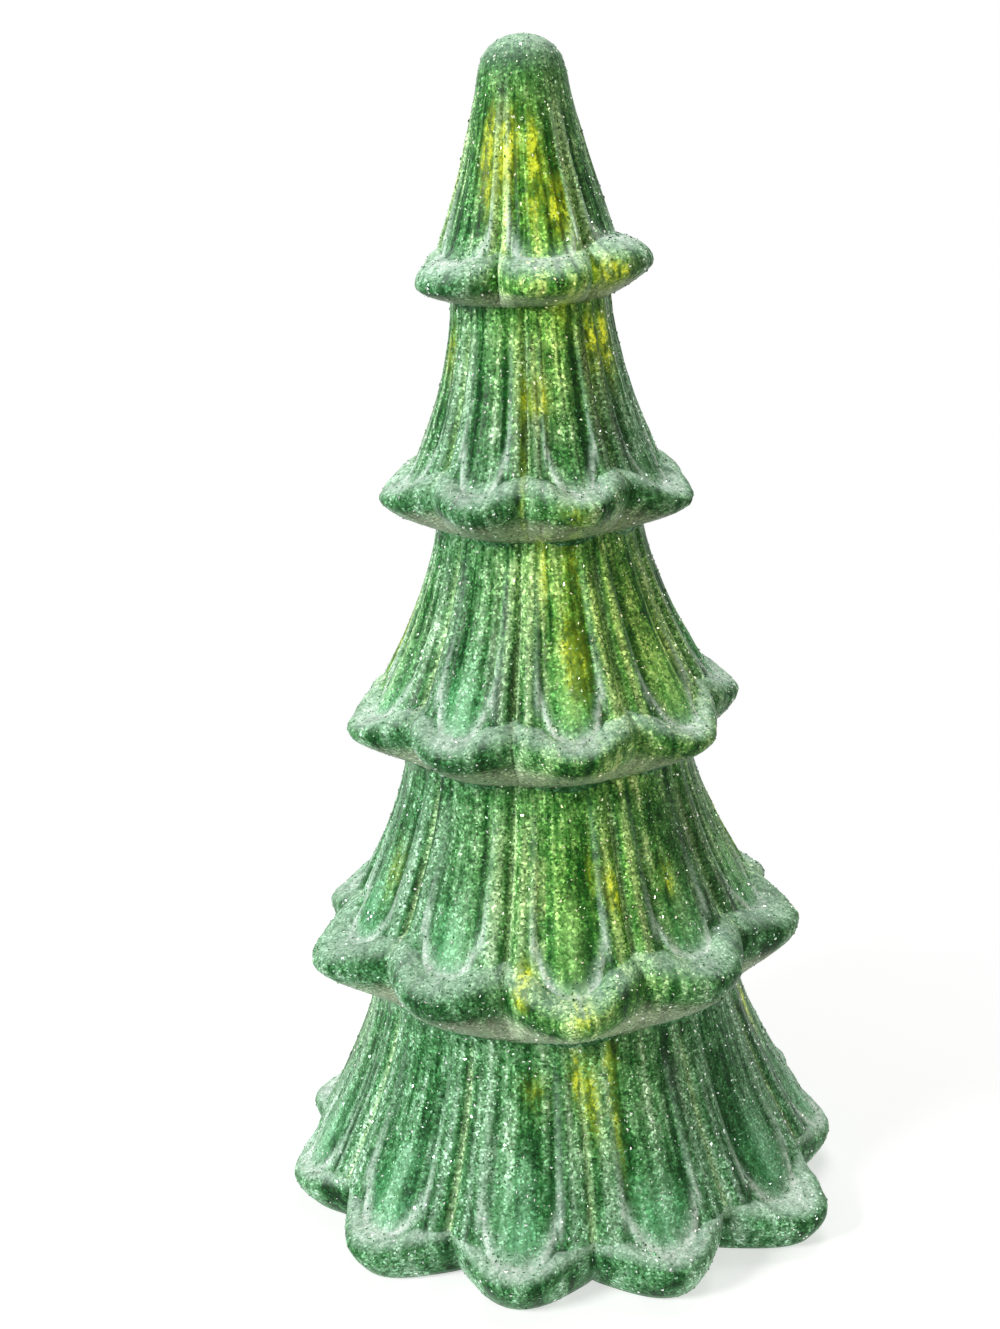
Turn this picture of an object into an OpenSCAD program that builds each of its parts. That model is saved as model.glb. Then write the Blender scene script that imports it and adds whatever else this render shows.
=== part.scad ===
// A battery-lit glass tree: one blown shell of five lobed tiers on a round plastic base,
// with a string of small lights wound up the inside round a clear stem.
// Millimetres, +Z up. The origin is on the table under the tree's axis, and -Y is the front.

/* [Bottom tier] */
// Height from the lowest line of the hem up to the waist above
bottom_height = 76.5; // [70:0.5:82]
// Radius out to the nose of a lobe
bottom_reach = 93; // [90:0.5:100]
// Height of the nose above the lowest line of the hem
bottom_nose = 10.5; // [8.5:0.5:12.5]
// How far the lip stands out from the skirt
bottom_lip = 6.5; // [4.5:0.25:8.5]
// Radius of the waist above
bottom_waist = 60.5; // [57:0.1:64]
// Lobes round the hem
bottom_lobes = 11; // [9:1:12]
// Turn of the first lobe from the front, in degrees
bottom_turn = -12; // [-16:0.5:16]
// How the skirt flares: 1 is a straight cone
bottom_flare = 1.4; // [1:0.05:1.8]

/* [Lower tier] */
// Height from the waist below up to the waist above
lower_height = 79; // [72:0.5:86]
// Radius out to the nose of a lobe
lower_reach = 79.5; // [76:0.5:83]
// Height of the nose above the waist below
lower_nose = 19; // [15.5:0.5:22.5]
// How far the lip stands out from the skirt
lower_lip = 13.5; // [10:0.25:17]
// Radius of the waist above
lower_waist = 46; // [43:0.1:49]
// Lobes round the hem
lower_lobes = 10; // [8:1:12]
// Turn of the first lobe from the front, in degrees
lower_turn = 3; // [-18:0.5:18]
// How the skirt flares: 1 is a straight cone
lower_flare = 1.4; // [1:0.05:1.8]

/* [Middle tier] */
// Height from the waist below up to the waist above
middle_height = 73.5; // [66.5:0.5:80.5]
// Radius out to the nose of a lobe
middle_reach = 63.5; // [60:0.5:67]
// Height of the nose above the waist below
middle_nose = 14; // [10.5:0.5:17.5]
// How far the lip stands out from the skirt
middle_lip = 10; // [7.5:0.25:12.5]
// Radius of the waist above
middle_waist = 32.3; // [30:0.1:35]
// Lobes round the hem
middle_lobes = 9; // [7:1:11]
// Turn of the first lobe from the front, in degrees
middle_turn = 8; // [-20:0.5:20]
// How the skirt flares: 1 is a straight cone
middle_flare = 1.4; // [1:0.05:1.8]

/* [Upper tier] */
// Height from the waist below up to the waist above
upper_height = 69.5; // [63:0.5:76]
// Radius out to the nose of a lobe
upper_reach = 48.7; // [46:0.1:52]
// Height of the nose above the waist below
upper_nose = 12.5; // [9.5:0.5:15.5]
// How far the lip stands out from the skirt
upper_lip = 9.5; // [7.5:0.25:11.5]
// Radius of the waist above
upper_waist = 24.8; // [23.3:0.1:26.3]
// Lobes round the hem
upper_lobes = 8; // [6:1:10]
// Turn of the first lobe from the front, in degrees
upper_turn = 16; // [-22:0.5:22]
// How the skirt flares: 1 is a straight cone
upper_flare = 1.6; // [1:0.05:1.8]

/* [Top tier] */
// Height from the waist below up to the shoulder under the tip
top_height = 67; // [61:0.5:73]
// Radius out to the nose of a lobe
top_reach = 36.8; // [34:0.1:40]
// Height of the nose above the waist below
top_nose = 8.5; // [6:0.5:11]
// How far the lip stands out from the skirt
top_lip = 10.25; // [8.25:0.25:12.25]
// Radius of the shoulder under the tip
top_waist = 12.1; // [10.6:0.1:13.6]
// Lobes round the hem
top_lobes = 6; // [5:1:8]
// Turn of the first lobe from the front, in degrees
top_turn = 6.5; // [-25:0.5:25]
// How the skirt flares: 1 is a straight cone
top_flare = 0.85; // [0.7:0.05:1.5]
// Height of the rounded tip above the shoulder
tip_height = 9.5; // [7.5:0.5:11.5]

/* [Glass] */
// Thickness of the glass
wall = 3; // [2.4:0.1:3.4]
// Share of a lobe's width that its middle tongue takes
tongue_share = 0.52; // [0.44:0.02:0.6]
// Depth of the two grooves beside a tongue, near the hem
groove_depth = 1.4; // [0.8:0.1:2]
// Depth of the crease between two lobes, where the lip starts
crease_depth = 4; // [2:0.25:5]
// Share of a hem's reach by which it is drawn in between two lobes
notch_share = 0.15; // [0.11:0.01:0.19]
// Rise of the hem between two lobes
scallop = 2.5; // [1:0.25:4]
// Rise of the lip's edge from the middle of a tongue to its grooves
ledge_rise = 6.5; // [4.5:0.5:10.5]
// How far the lip climbs the skirt, as a share of how far it stands out
lip_climb = 0.5; // [0.35:0.05:0.8]
// How the lip curves out from the skirt: higher keeps it close for longer
lip_curve = 1.6; // [1:0.1:3]
// How round the underside of a lobe is: 0 is straight and 1 is a quarter round
under_round = 0.85; // [0.5:0.05:1]
// How far a lobe turns in from its nose to the hem's lowest line
hem_round = 6; // [4:0.5:8]
// Height of the hem's lowest line above the table
hem_gap = 1; // [0.6:0.1:2]

/* [Base] */
// Outer radius of the cup that goes up into the glass
cup_r = 53.5; // [53:0.25:55]
// Wall of the cup
cup_wall = 2; // [1.6:0.1:2.4]
// Radius of the flange under the glass
flange_r = 66; // [65.5:0.25:68]
// Thickness of the flange
flange_t = 2.6; // [2:0.1:3.2]
// Thickness of the cup's floor
floor_t = 4; // [3.6:0.1:5]
// Room for wires over the battery bay
wire_room = 11; // [10:0.5:16]
// Thickness of the cup's cover
cover_t = 2.4; // [2:0.1:3.4]
// Gap between the cup and the opening in the glass
cup_gap = 1.5; // [0.8:0.1:2]
// Thickness of the soft ring between flange and glass
seal_t = 0.8; // [0.6:0.1:1.4]
// Width of that ring
seal_w = 9; // [6:0.5:10]
// Radius of a rubber foot
foot_r = 4.5; // [3.5:0.1:4.8]
// How far a foot stands below the flange
foot_h = 1.6; // [1.4:0.1:2.4]
// How deep a foot sits in the flange
foot_sink = 0.8; // [0.5:0.1:1.2]
// Feet round the flange
feet = 4; // [3:1:8]
// Radius of the posts for the cover's screws
post_r = 3.5; // [3:0.1:4]

/* [Batteries] */
// Radius of a cell
cell_r = 7.25; // [7.1:0.05:7.3]
// Length of a cell with its nub
cell_l = 50.5; // [49.5:0.1:50.5]
// Radius of the nub
nub_r = 2.75; // [2:0.05:3]
// Height of the nub
nub_h = 1; // [0.8:0.1:1.6]
// Room round a cell
cell_gap = 0.5; // [0.3:0.1:0.7]
// Length of a contact spring with the cell in place
spring_l = 7; // [6:0.1:8]
// Thickness of the contact plates
plate_t = 0.4; // [0.3:0.05:0.6]
// Wall round the battery bay
bay_wall = 1.6; // [1.2:0.1:2]
// How far the corner of the hinge stays inside the cup
hinge_room = 0.25; // [0.2:0.05:1]

/* [Battery door] */
// Thickness of the door
door_t = 2; // [1.6:0.1:2.4]
// How far the door laps the edge of the bay
door_lap = 2.5; // [2:0.1:3]
// Gap round the door
door_gap = 0.4; // [0.3:0.05:0.6]
// Radius of the door's hinge barrel
barrel_r = 2.2; // [2:0.1:2.4]
// Radius of the two pins on the barrel's ends
pin_r = 1.25; // [1:0.05:1.4]
// Length of a pin
pin_l = 2.5; // [2:0.1:3]
// Running clearance round a pin
pin_fit = 0.05; // [0.03:0.01:0.1]
// Extra gap behind the barrel, for the open door
swing_gap = 0.6; // [0.5:0.05:1]
// Radius of the door's screw tab
tab_r = 6; // [5.5:0.1:6.5]
// Thickness of the tab
tab_t = 3.5; // [3.2:0.1:4]
// Radius of the door screw's shank
lock_r = 1.45; // [1.2:0.05:1.6]
// Length of the shank
lock_l = 8; // [7:0.25:9]

/* [Switch] */
// Wall between the door's end and the finger pocket
pocket_wall = 1.5; // [1.2:0.1:3]
// Length of the switch's body
switch_l = 13; // [12.5:0.1:14]
// Width of the switch's body
switch_w = 9; // [8:0.1:9.4]
// Height of the switch's body
switch_h = 7; // [6:0.1:8]
// Length of the knob
knob_l = 3; // [2.4:0.1:3.2]
// Width of the knob
knob_w = 4; // [3:0.1:4.4]
// Travel from the middle place to either end
travel = 2; // [1.5:0.1:2.2]
// Gap round the knob in its slot
knob_gap = 0.3; // [0.2:0.05:0.4]
// Finger room round the knob's travel
finger = 4; // [3:0.25:4.5]

/* [Timer board] */
// Length of the board
board_l = 22; // [20:0.5:23]
// Width of the board
board_w = 15; // [14:0.25:16]
// Thickness of the board
board_t = 1.6; // [1:0.1:2]
// Height of the posts that carry the board
board_rise = 3; // [2.5:0.25:4]
// How far the board's edges stay inside the battery bay's
board_in = 1; // [0.5:0.25:3]

/* [Light string] */
// Radius of the clear stem
stem_r = 4; // [3:0.1:4.5]
// Wall of the stem
stem_wall = 1.4; // [1:0.1:1.8]
// Height of the socket that holds the stem
socket_h = 14; // [10:0.5:18]
// Wall of that socket
socket_wall = 3; // [2:0.1:4]
// Gap between the stem's cap and the inside of the tip
tip_room = 24; // [22:0.5:30]
// Thickness of the cap's disc
cap_t = 2; // [1.6:0.1:3]
// Height of the cap's sleeve under the disc
sleeve_h = 6; // [4:0.5:8]
// Radius of the light wire
wire_r = 0.7; // [0.6:0.05:0.8]
// Turns of the light wire
wire_turns = 8.75; // [7:0.25:9]
// Radius of the winding where it leaves the base
coil_foot_r = 42; // [41:0.25:42.5]
// Radius of the winding under the cap
coil_top_r = 9; // [8:0.25:9.5]
// Where the wire leaves the base, in degrees from the front
coil_turn = -55; // [-57:1:-52]
// Radius of a light bead
led_r = 1.9; // [1.6:0.1:2.4]
// Length of the straight middle of a bead
led_l = 2.4; // [1.6:0.1:3]
// Radius of the leads in the base
lead_r = 0.7; // [0.5:0.05:0.8]
// How far from a corner a lead or the light wire starts to bend
lead_bend = 3; // [2.5:0.25:5]

/* [Hidden] */
$fn = 48;
// A bare margin that takes a cut past the face it opens
past = 1;
// Play of a fixed shank in its hole
snug = 0.05;
// Play over the closed door and its tab
door_play = 0.1;
// Play round the door screw's head and washer
lock_play = 0.4;
// Room for the door screw to swing out of its post with the door
lock_swing = 0.75;
// How far the glass seat is wider than the flange
seat_gap = 4.5;
// How far the seal starts outside the opening in the glass
seal_inset = 0.5;

// Heights in the base, from the table up
flange_z = foot_h;
flange_top = flange_z + flange_t;
floor_top = flange_z + floor_t;
seat_z = flange_top + seal_t;
door_top = flange_z + door_t;
rebate_top = door_top + door_play;
cell_z = rebate_top + cell_gap + cell_r;
roof_z = cell_z + cell_r + cell_gap;
roof_top = roof_z + bay_wall;
cup_top = roof_top + wire_room;
cover_top = cup_top + cover_t;

// Tiers from the bottom up, each with the heights of its lower and upper waist
waist_1 = hem_gap + bottom_height;
waist_2 = waist_1 + lower_height;
waist_3 = waist_2 + middle_height;
waist_4 = waist_3 + upper_height;
shoulder_z = waist_4 + top_height;
tip_z = shoulder_z + tip_height;
seat_r = flange_r + seat_gap;
opening_r = cup_r + cup_gap;
TIERS = [
    [hem_gap, waist_1, bottom_reach, bottom_nose, bottom_lip, bottom_waist,
        bottom_lobes, bottom_turn, bottom_flare, bottom_reach - hem_round],
    [waist_1, waist_2, lower_reach, lower_nose, lower_lip, lower_waist,
        lower_lobes, lower_turn, lower_flare, bottom_waist],
    [waist_2, waist_3, middle_reach, middle_nose, middle_lip, middle_waist,
        middle_lobes, middle_turn, middle_flare, lower_waist],
    [waist_3, waist_4, upper_reach, upper_nose, upper_lip, upper_waist,
        upper_lobes, upper_turn, upper_flare, middle_waist],
    [waist_4, shoulder_z, top_reach, top_nose, top_lip, top_waist,
        top_lobes, top_turn, top_flare, upper_waist]
];

// Glass: a lobe is a middle tongue between two narrow rolls.
// Across a lobe u runs from -1 to 1. Down a tier s runs over the skirt from 0 to 1, over the
// lip from 1 to the nose at 2, and in under the nose to the waist or the hem at 3.
function lobe_steps(fine) = fine
    ? [-1, -(1 + tongue_share) / 2, -tongue_share, -tongue_share / 2, 0,
        tongue_share / 2, tongue_share, (1 + tongue_share) / 2]
    : [-1, -tongue_share, 0, tongue_share];
function groove(u) =
    let (w = tongue_share, roll = (1 - w) / 2, v = abs(u), crest = 0.35 * groove_depth,
        s = (v - w - roll) / roll)
    v < w ? groove_depth * (v / w) * (v / w)
        : crest + (s < 0 ? groove_depth - crest : crease_depth - crest) * s * s;
function nose_r(t, u) = t[2] * (1 - notch_share * u * u);
function nose_z(t, u) = t[0] + t[3] + scallop * u * u;
function root_z(t, u) = nose_z(t, u) + lip_climb * t[4]
    + ledge_rise * pow(min(1, abs(u) / tongue_share), 2);
function skirt_r(t, u, z) =
    let (share = (t[1] - z) / (t[1] - t[0] - t[3] - lip_climb * t[4]))
    t[5] + (t[2] - t[4] - t[5]) * pow(max(0, share), t[8]) - (0.35 + 0.65 * share) * groove(u);
function under_r(t, u) = t[0] == hem_gap ? nose_r(t, u) - hem_round : t[9];
function meridian(t, u, s) =
    s <= 1 ? let (z = t[1] + (root_z(t, u) - t[1]) * s) [skirt_r(t, u, z), z]
    : s <= 2 ? let (root = root_z(t, u), r = skirt_r(t, u, root))
        [r + (nose_r(t, u) - r) * pow(sin(90 * (s - 1)), lip_curve),
            nose_z(t, u) + (root - nose_z(t, u)) * (2 - s)]
    : let (a = 3 - s, low = under_r(t, u))
        [low + (nose_r(t, u) - low) * (under_round * sin(90 * a) + (1 - under_round) * a),
            t[0] + (nose_z(t, u) - t[0]) * a];
function inside(t, u, s) =
    let (p = meridian(t, u, s), d = 0.02,
        run = meridian(t, u, min(3, s + d)) - meridian(t, u, max(0, s - d)))
    p - wall * [-run[1], run[0]] / norm(run);
function turned(rz, a) = [rz[0] * sin(a), -rz[0] * cos(a), rz[1]];
// A ring is the angle it starts at and its points, which go round with the angle
function lobed_ring(t, s, fine) = [
    t[7] - 180 / t[6],
    [for (lobe = [0 : t[6] - 1], u = lobe_steps(fine))
        turned(fine ? meridian(t, u, s) : inside(t, u, s), t[7] + (lobe + u / 2) * 360 / t[6])]
];
function round_ring(r, z, start, count) =
    [start, [for (i = [0 : count - 1]) turned([r, z], start + i * 360 / count)]];
outer_steps = [0, 0.2, 0.4, 0.6, 0.8, 1, 1.35, 1.7, 2, 2.35, 2.7];
inner_steps = [2.5, 2, 1.5, 1, 0.65, 0.3, 0];
hem_start = bottom_turn - 180 / bottom_lobes;
hem_count = 8 * bottom_lobes;
tip_rise = [0.9, 0.6];
glass_rings = concat(
    [for (h = tip_rise) round_ring(top_waist * sqrt(1 - h * h), shoulder_z + tip_height * h,
        top_turn - 180 / top_lobes, 4 * top_lobes)],
    [for (k = [4 : -1 : 0], s = outer_steps) lobed_ring(TIERS[k], s, true)],
    [lobed_ring(TIERS[0], 3, true)],
    [round_ring(seat_r, seat_z, hem_start, hem_count)],
    [round_ring(opening_r, seat_z, hem_start, hem_count)],
    [round_ring(opening_r, seat_z + wall, hem_start, hem_count / 2)],
    [round_ring(seat_r, seat_z + wall, hem_start, hem_count / 2)],
    [[hem_start, [for (lobe = [0 : bottom_lobes - 1], u = lobe_steps(false))
        turned([nose_r(TIERS[0], u) - hem_round - wall / 4, hem_gap + wall],
            bottom_turn + (lobe + u / 2) * 360 / bottom_lobes)]]],
    [for (k = [0 : 4], s = inner_steps) lobed_ring(TIERS[k], s, false)],
    [round_ring(top_waist * 0.8 - wall * 0.6, shoulder_z + tip_height * 0.6 - wall * 0.8,
        top_turn - 180 / top_lobes, 4 * top_lobes)]
);

// Walks two rings together, so that rings of different counts join with triangles
function zip_faces(a, b, at_a, at_b) =
    let (n = len(a[1]), m = len(b[1]), shift = round((a[0] - b[0]) * m / 360) + 4 * m)
    [for (k = [0 : n + m - 1])
        let (i = floor(k * n / (n + m)), j = k - i, on = floor((k + 1) * n / (n + m)) > i)
        [at_a + i % n, on ? at_a + (i + 1) % n : at_b + (j + 1 + shift) % m,
            at_b + (j + shift) % m]];
function starts(rings, k = 0, at = 0) =
    k == len(rings) ? [at] : concat([at], starts(rings, k + 1, at + len(rings[k][1])));
module ring_solid(rings, first, last) {
    at = starts(rings);
    end = len(rings) - 1;
    n = len(rings[0][1]);
    m = len(rings[end][1]);
    total = at[end + 1];
    polyhedron(
        points = concat([for (ring = rings) each ring[1]], [first, last]),
        faces = concat(
            [for (k = [0 : end - 1]) each zip_faces(rings[k], rings[k + 1], at[k], at[k + 1])],
            [for (i = [0 : n - 1]) [total, at[0] + (i + 1) % n, at[0] + i]],
            [for (i = [0 : m - 1]) [total + 1, at[end] + i, at[end] + (i + 1) % m]]));
}

// Base: places of the bay, the door and what stands in the cup
bay_l = cell_l + spring_l + 2 * plate_t;
cell_pitch = 2 * cell_r + cell_gap;
bay_w = 3 * cell_pitch;
door_l = bay_l + 2 * door_lap;
hinge_half = door_l / 2 + door_gap + pin_l + bay_wall;
hinge_rear = sqrt(pow(cup_r - hinge_room, 2) - hinge_half * hinge_half);
hinge_y = hinge_rear - bay_wall - swing_gap - barrel_r;
bay_rear = hinge_y - barrel_r - door_gap - bay_wall;
bay_front = bay_rear - bay_w;
door_front = bay_front - door_lap;
hinge_z = flange_z + barrel_r;
tab_y = bay_front - bay_wall - door_gap - tab_r;
tab_top = flange_z + tab_t;
tab_roof = tab_top + door_play;
lock_head_r = 2 * lock_r;
lock_head_h = 1.6;
lock_web = 1.5;
lock_seat = tab_top - lock_web;
washer_t = 0.8;
washer_r = lock_r + 1;
lock_hole = lock_r + lock_swing;
lock_tip = lock_seat + lock_l;
post_roof = 1.5;
lock_post_r = tab_r + door_gap + cup_wall;
pocket_roof = 1.4;
pocket_d = floor_t - pocket_roof;
slot_l = knob_l + 2 * travel + 2 * knob_gap;
slot_w = knob_w + 2 * knob_gap;
pocket_x = slot_w / 2 + finger;
pocket_y = slot_l / 2 + finger;
switch_x = door_l / 2 + door_gap + pocket_wall + pocket_x;
carrier_lap = 0.8;
carrier_t = 1.6;
switch_wall = (switch_l - slot_l - 2 * carrier_lap) / 2;
ear_l = 5.5;
ear_t = 1.6;
pin_rise = 2;
pin_w = 1.2;
knob_rise = 0.4;
ridge_pitch = 1;
ridge_h = 0.4;
screw_r = 1;
screw_head_r = 1.9;
screw_head_h = 1.2;
screw_l = 6;
short_screw_l = 4;
post_at = cup_r - cup_wall - post_r + 1;
post_turns = [60, 120, 240, 300];
feet_at = (cup_r + flange_r) / 2;
wire_x = coil_foot_r * sin(coil_turn);
wire_y = -coil_foot_r * cos(coil_turn);
board_x = board_in + board_l / 2 - bay_l / 2;
board_y = bay_front + board_in + board_w / 2;
board_z = roof_top + board_rise;
board_top = board_z + board_t;
board_edge = 3;
board_posts = [[board_l / 2 - board_edge, board_w / 2 - board_edge],
    [2 * board_edge - board_l / 2, board_edge - board_w / 2]];
board_post_r = 2.2;
plate_inset = 1.5;
plate_w = 2 * cell_r - 2 * plate_inset;
plate_z = rebate_top + plate_inset;
plate_tab = 1.5;
tab_w = 4;
cell_y = [for (i = [0 : 2]) bay_front + (i + 0.5) * cell_pitch];

// Light string: heights, the winding and the places of the lights along it, 0 at its foot
stem_top = tip_z - wall - tip_room;
cap_z = stem_top - cap_t / 2;
sleeve_wall = 1.2;
disc_edge = 2.5;
disc_r = coil_top_r + disc_edge;
collar_h = 1.2;
wire_foot = cover_top + collar_h + 2 * wire_r;
wire_ease = 0.03;
wire_rings = 16;
led_at = [0.035, 0.137, 0.178, 0.263, 0.37, 0.484, 0.58, 0.66, 0.75, 0.83, 0.933, 0.975];
function eased(t) =
    let (e = wire_ease)
    t < e ? t * t / (2 * e * (1 - e))
    : t > 1 - e ? 1 - (1 - t) * (1 - t) / (2 * e * (1 - e))
    : (t - e / 2) / (1 - e);
function coil_angle(t) = coil_turn + 360 * wire_turns * eased(min(1, max(0, t)));
function coil_point(t) =
    let (on = min(1, max(0, t)), r = coil_foot_r + (coil_top_r - coil_foot_r) * on)
    turned([r, wire_foot + (cap_z - wire_foot) * t], coil_angle(t));
function unit(v) = v / norm(v);
function section(at, along, side, r, sides) =
    let (across = unit(side - along * (side * along)), other = cross(along, across))
    [for (i = [0 : sides - 1])
        at + r * (cos(i * 360 / sides) * across + sin(i * 360 / sides) * other)];
module tube(path, sides_way, r, sides) {
    end = len(path) - 1;
    along = [for (i = [0 : end]) unit(path[min(end, i + 1)] - path[max(0, i - 1)])];
    points = [for (i = [0 : end]) each section(path[i], along[i], sides_way[i], r, sides)];
    polyhedron(points, concat(
        [for (i = [0 : end - 1], j = [0 : sides - 1])
            let (a = i * sides + j, b = i * sides + (j + 1) % sides) each
            [[a, a + sides, b + sides], [a, b + sides, b]]],
        [for (j = [1 : sides - 2]) [0, j, j + 1]],
        [for (j = [1 : sides - 2]) [end * sides, end * sides + j + 1, end * sides + j]]));
}
// A bent route: straight runs with each corner rounded off
function toward(a, b) = a + unit(b - a) * min(lead_bend, norm(b - a) / 2);
function bent(p, steps = 4) = concat([p[0]],
    [for (i = [1 : len(p) - 2], k = [0 : steps])
        let (t = k / steps, a = toward(p[i], p[i - 1]), b = toward(p[i], p[i + 1]))
        (1 - t) * (1 - t) * a + 2 * t * (1 - t) * p[i] + t * t * b],
    [p[len(p) - 1]]);
// In the base the light wire lies on the board and bends up into its grommet
pad_in = 2;
wire_z = board_top + wire_r;
coil_start = bent([[board_x - board_l / 2 + pad_in, board_y - board_w / 2 + pad_in, wire_z],
    [wire_x, wire_y, wire_z], [wire_x, wire_y, cover_top]]);
coil_rings = ceil(wire_turns * wire_rings);
coil_path = concat(
    coil_start,
    [for (i = [0 : coil_rings]) coil_point(i / coil_rings)],
    [coil_point(1) + [0, 0, cap_t]]);
coil_sides = concat(
    [for (p = coil_start) turned([1, 0], coil_turn)],
    [for (i = [0 : coil_rings]) turned([1, 0], coil_angle(i / coil_rings))],
    [turned([1, 0], coil_angle(1))]);
// The nearest that the winding comes to itself, between points half a turn apart or more
coil_gap = min([for (i = [0 : coil_rings], j = [i + wire_rings / 2 : coil_rings])
    norm(coil_point(i / coil_rings) - coil_point(j / coil_rings))]) - 2 * wire_r;
echo(light_wire_least_gap = coil_gap);
lead_z = board_top + lead_r;
plus_tab = [bay_l / 2 - plate_t / 2, cell_y[0], roof_top + plate_tab];
minus_tab = [plate_t / 2 - bay_l / 2, cell_y[2], roof_top + plate_tab];
switch_pin = 3;
pin_top = floor_top + switch_h + pin_rise;
red_route = [plus_tab, [plus_tab[0], plus_tab[1], lead_z], [switch_x, -switch_pin, lead_z],
    [switch_x, -switch_pin, pin_top]];
black_route = [minus_tab, [minus_tab[0], minus_tab[1], lead_z],
    [board_x - 1, board_y + board_w / 2 - pad_in, lead_z]];
switch_route = [[switch_x, switch_pin, pin_top], [switch_x, switch_pin, lead_z],
    [board_x + board_l / 2 - board_edge, board_y - board_w / 2 + board_edge, lead_z]];

// Shapes that several pieces share
module ring(outer, inner, h) {
    difference() {
        cylinder(r = outer, h = h);
        translate([0, 0, -past]) cylinder(r = inner, h = h + 2 * past);
    }
}
module block(x0, x1, y0, y1, z0, z1) {
    translate([x0, y0, z0]) cube([x1 - x0, y1 - y0, z1 - z0]);
}
module screw(shank) {
    cylinder(r = screw_r, h = shank);
    translate([0, 0, shank]) difference() {
        cylinder(r = screw_head_r, h = screw_head_h);
        for (a = [0, 90])
            rotate([0, 0, a])
                translate([0, 0, screw_head_h]) cube([2.4, 0.5, 1.2], center = true);
    }
}
module round_feet(r, z0, z1) {
    for (i = [0 : feet - 1])
        rotate([0, 0, 45 + i * 360 / feet])
            translate([feet_at, 0, z0]) cylinder(r = r, h = z1 - z0);
}
module at_posts(z) {
    for (a = post_turns)
        rotate([0, 0, a]) translate([post_at, 0, z]) children();
}
module at_board_posts(z) {
    for (p = board_posts)
        translate([board_x + p[0], board_y + p[1], z]) children();
}
module at_ears(z) {
    for (side = [-1, 1])
        translate([switch_x, side * (switch_l + ear_l) / 2, z]) children();
}
module along_x(x0, x1, y, z, r) {
    translate([x0, y, z]) rotate([0, 90, 0]) cylinder(r = r, h = x1 - x0);
}

// Glass
module glass_tree() {
    color("mediumseagreen", 0.5)
        ring_solid(glass_rings, [0, 0, tip_z], [0, 0, tip_z - wall]);
}
module seal_ring() {
    color("white")
        translate([0, 0, flange_top])
            ring(opening_r + seal_inset + seal_w, opening_r + seal_inset, seal_t);
}

// Base
module door_space() {
    block(-door_l / 2 - door_gap, door_l / 2 + door_gap, door_front - door_gap,
        hinge_y + barrel_r + swing_gap, flange_z - past, rebate_top);
    block(-door_l / 2 - door_gap, door_l / 2 + door_gap, hinge_y - barrel_r - door_gap,
        hinge_y + barrel_r + swing_gap, flange_z - past, hinge_z + barrel_r + door_gap);
    block(-tab_r - door_gap, tab_r + door_gap, tab_y, door_front, flange_z - past, rebate_top);
    translate([0, tab_y, flange_z - past])
        cylinder(r = tab_r + door_gap, h = tab_roof - flange_z + past);
    along_x(-door_l / 2 - pin_l - door_gap, door_l / 2 + pin_l + door_gap,
        hinge_y, hinge_z, pin_r + pin_fit);
    translate([0, tab_y, tab_roof - past])
        cylinder(r = washer_r + lock_swing, h = washer_t + lock_play + past);
    translate([0, tab_y, tab_roof - past])
        cylinder(r = lock_hole, h = lock_tip - tab_roof + 2 * past);
}
module base_cup() {
    color("gainsboro") difference() {
        union() {
            translate([0, 0, flange_z]) cylinder(r = flange_r, h = flange_t);
            translate([0, 0, flange_z]) cylinder(r = cup_r, h = floor_t);
            translate([0, 0, flange_z]) ring(cup_r, cup_r - cup_wall, cup_top - flange_z);
            block(-bay_l / 2 - bay_wall, bay_l / 2 + bay_wall, bay_front - bay_wall,
                bay_rear + bay_wall, flange_z, roof_top);
            block(-hinge_half, hinge_half, bay_rear, hinge_rear, flange_z,
                hinge_z + barrel_r + door_gap + bay_wall);
            translate([0, tab_y, flange_z])
                cylinder(r = lock_post_r, h = lock_tip + past + post_roof - flange_z);
            at_posts(floor_top - past) cylinder(r = post_r, h = cup_top - floor_top + past);
            at_board_posts(roof_top - past) cylinder(r = board_post_r, h = board_rise + past);
        }
        block(-bay_l / 2, bay_l / 2, bay_front, bay_rear, flange_z - past, roof_z);
        door_space();
        round_feet(foot_r + snug, flange_z - past, flange_z + foot_sink);
        at_posts(cup_top - screw_l) cylinder(r = screw_r + snug, h = screw_l + past);
        at_board_posts(board_top - short_screw_l)
            cylinder(r = screw_r + snug, h = short_screw_l + past);
        at_ears(floor_top - short_screw_l + ear_t)
            cylinder(r = screw_r + snug, h = short_screw_l + past);
        block(switch_x - pocket_x, switch_x + pocket_x, -pocket_y, pocket_y,
            flange_z - past, flange_z + pocket_d);
        block(switch_x - slot_w / 2, switch_x + slot_w / 2, -slot_l / 2, slot_l / 2,
            flange_z, floor_top + past);
        for (tab = [plus_tab, minus_tab])
            block(tab[0] - plate_t / 2 - snug, tab[0] + plate_t / 2 + snug,
                tab[1] - tab_w / 2 - snug, tab[1] + tab_w / 2 + snug, roof_z - past, roof_top + past);
    }
}
module rubber_feet() {
    color("dimgray") round_feet(foot_r, 0, flange_z + foot_sink);
}
module base_cover() {
    color("whitesmoke") difference() {
        union() {
            translate([0, 0, cup_top]) cylinder(r = cup_r, h = cover_t);
            translate([0, 0, cup_top]) cylinder(r = stem_r + socket_wall, h = cover_t + socket_h);
        }
        translate([0, 0, cover_top]) cylinder(r = stem_r + snug, h = socket_h + past);
        at_posts(cup_top - past) cylinder(r = screw_r + snug, h = cover_t + 2 * past);
        translate([wire_x, wire_y, cup_top - past])
            cylinder(r = 3 * wire_r + snug, h = cover_t + 2 * past);
    }
}
module cover_screws() {
    color("silver") at_posts(cover_top - screw_l) screw(screw_l);
}

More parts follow.
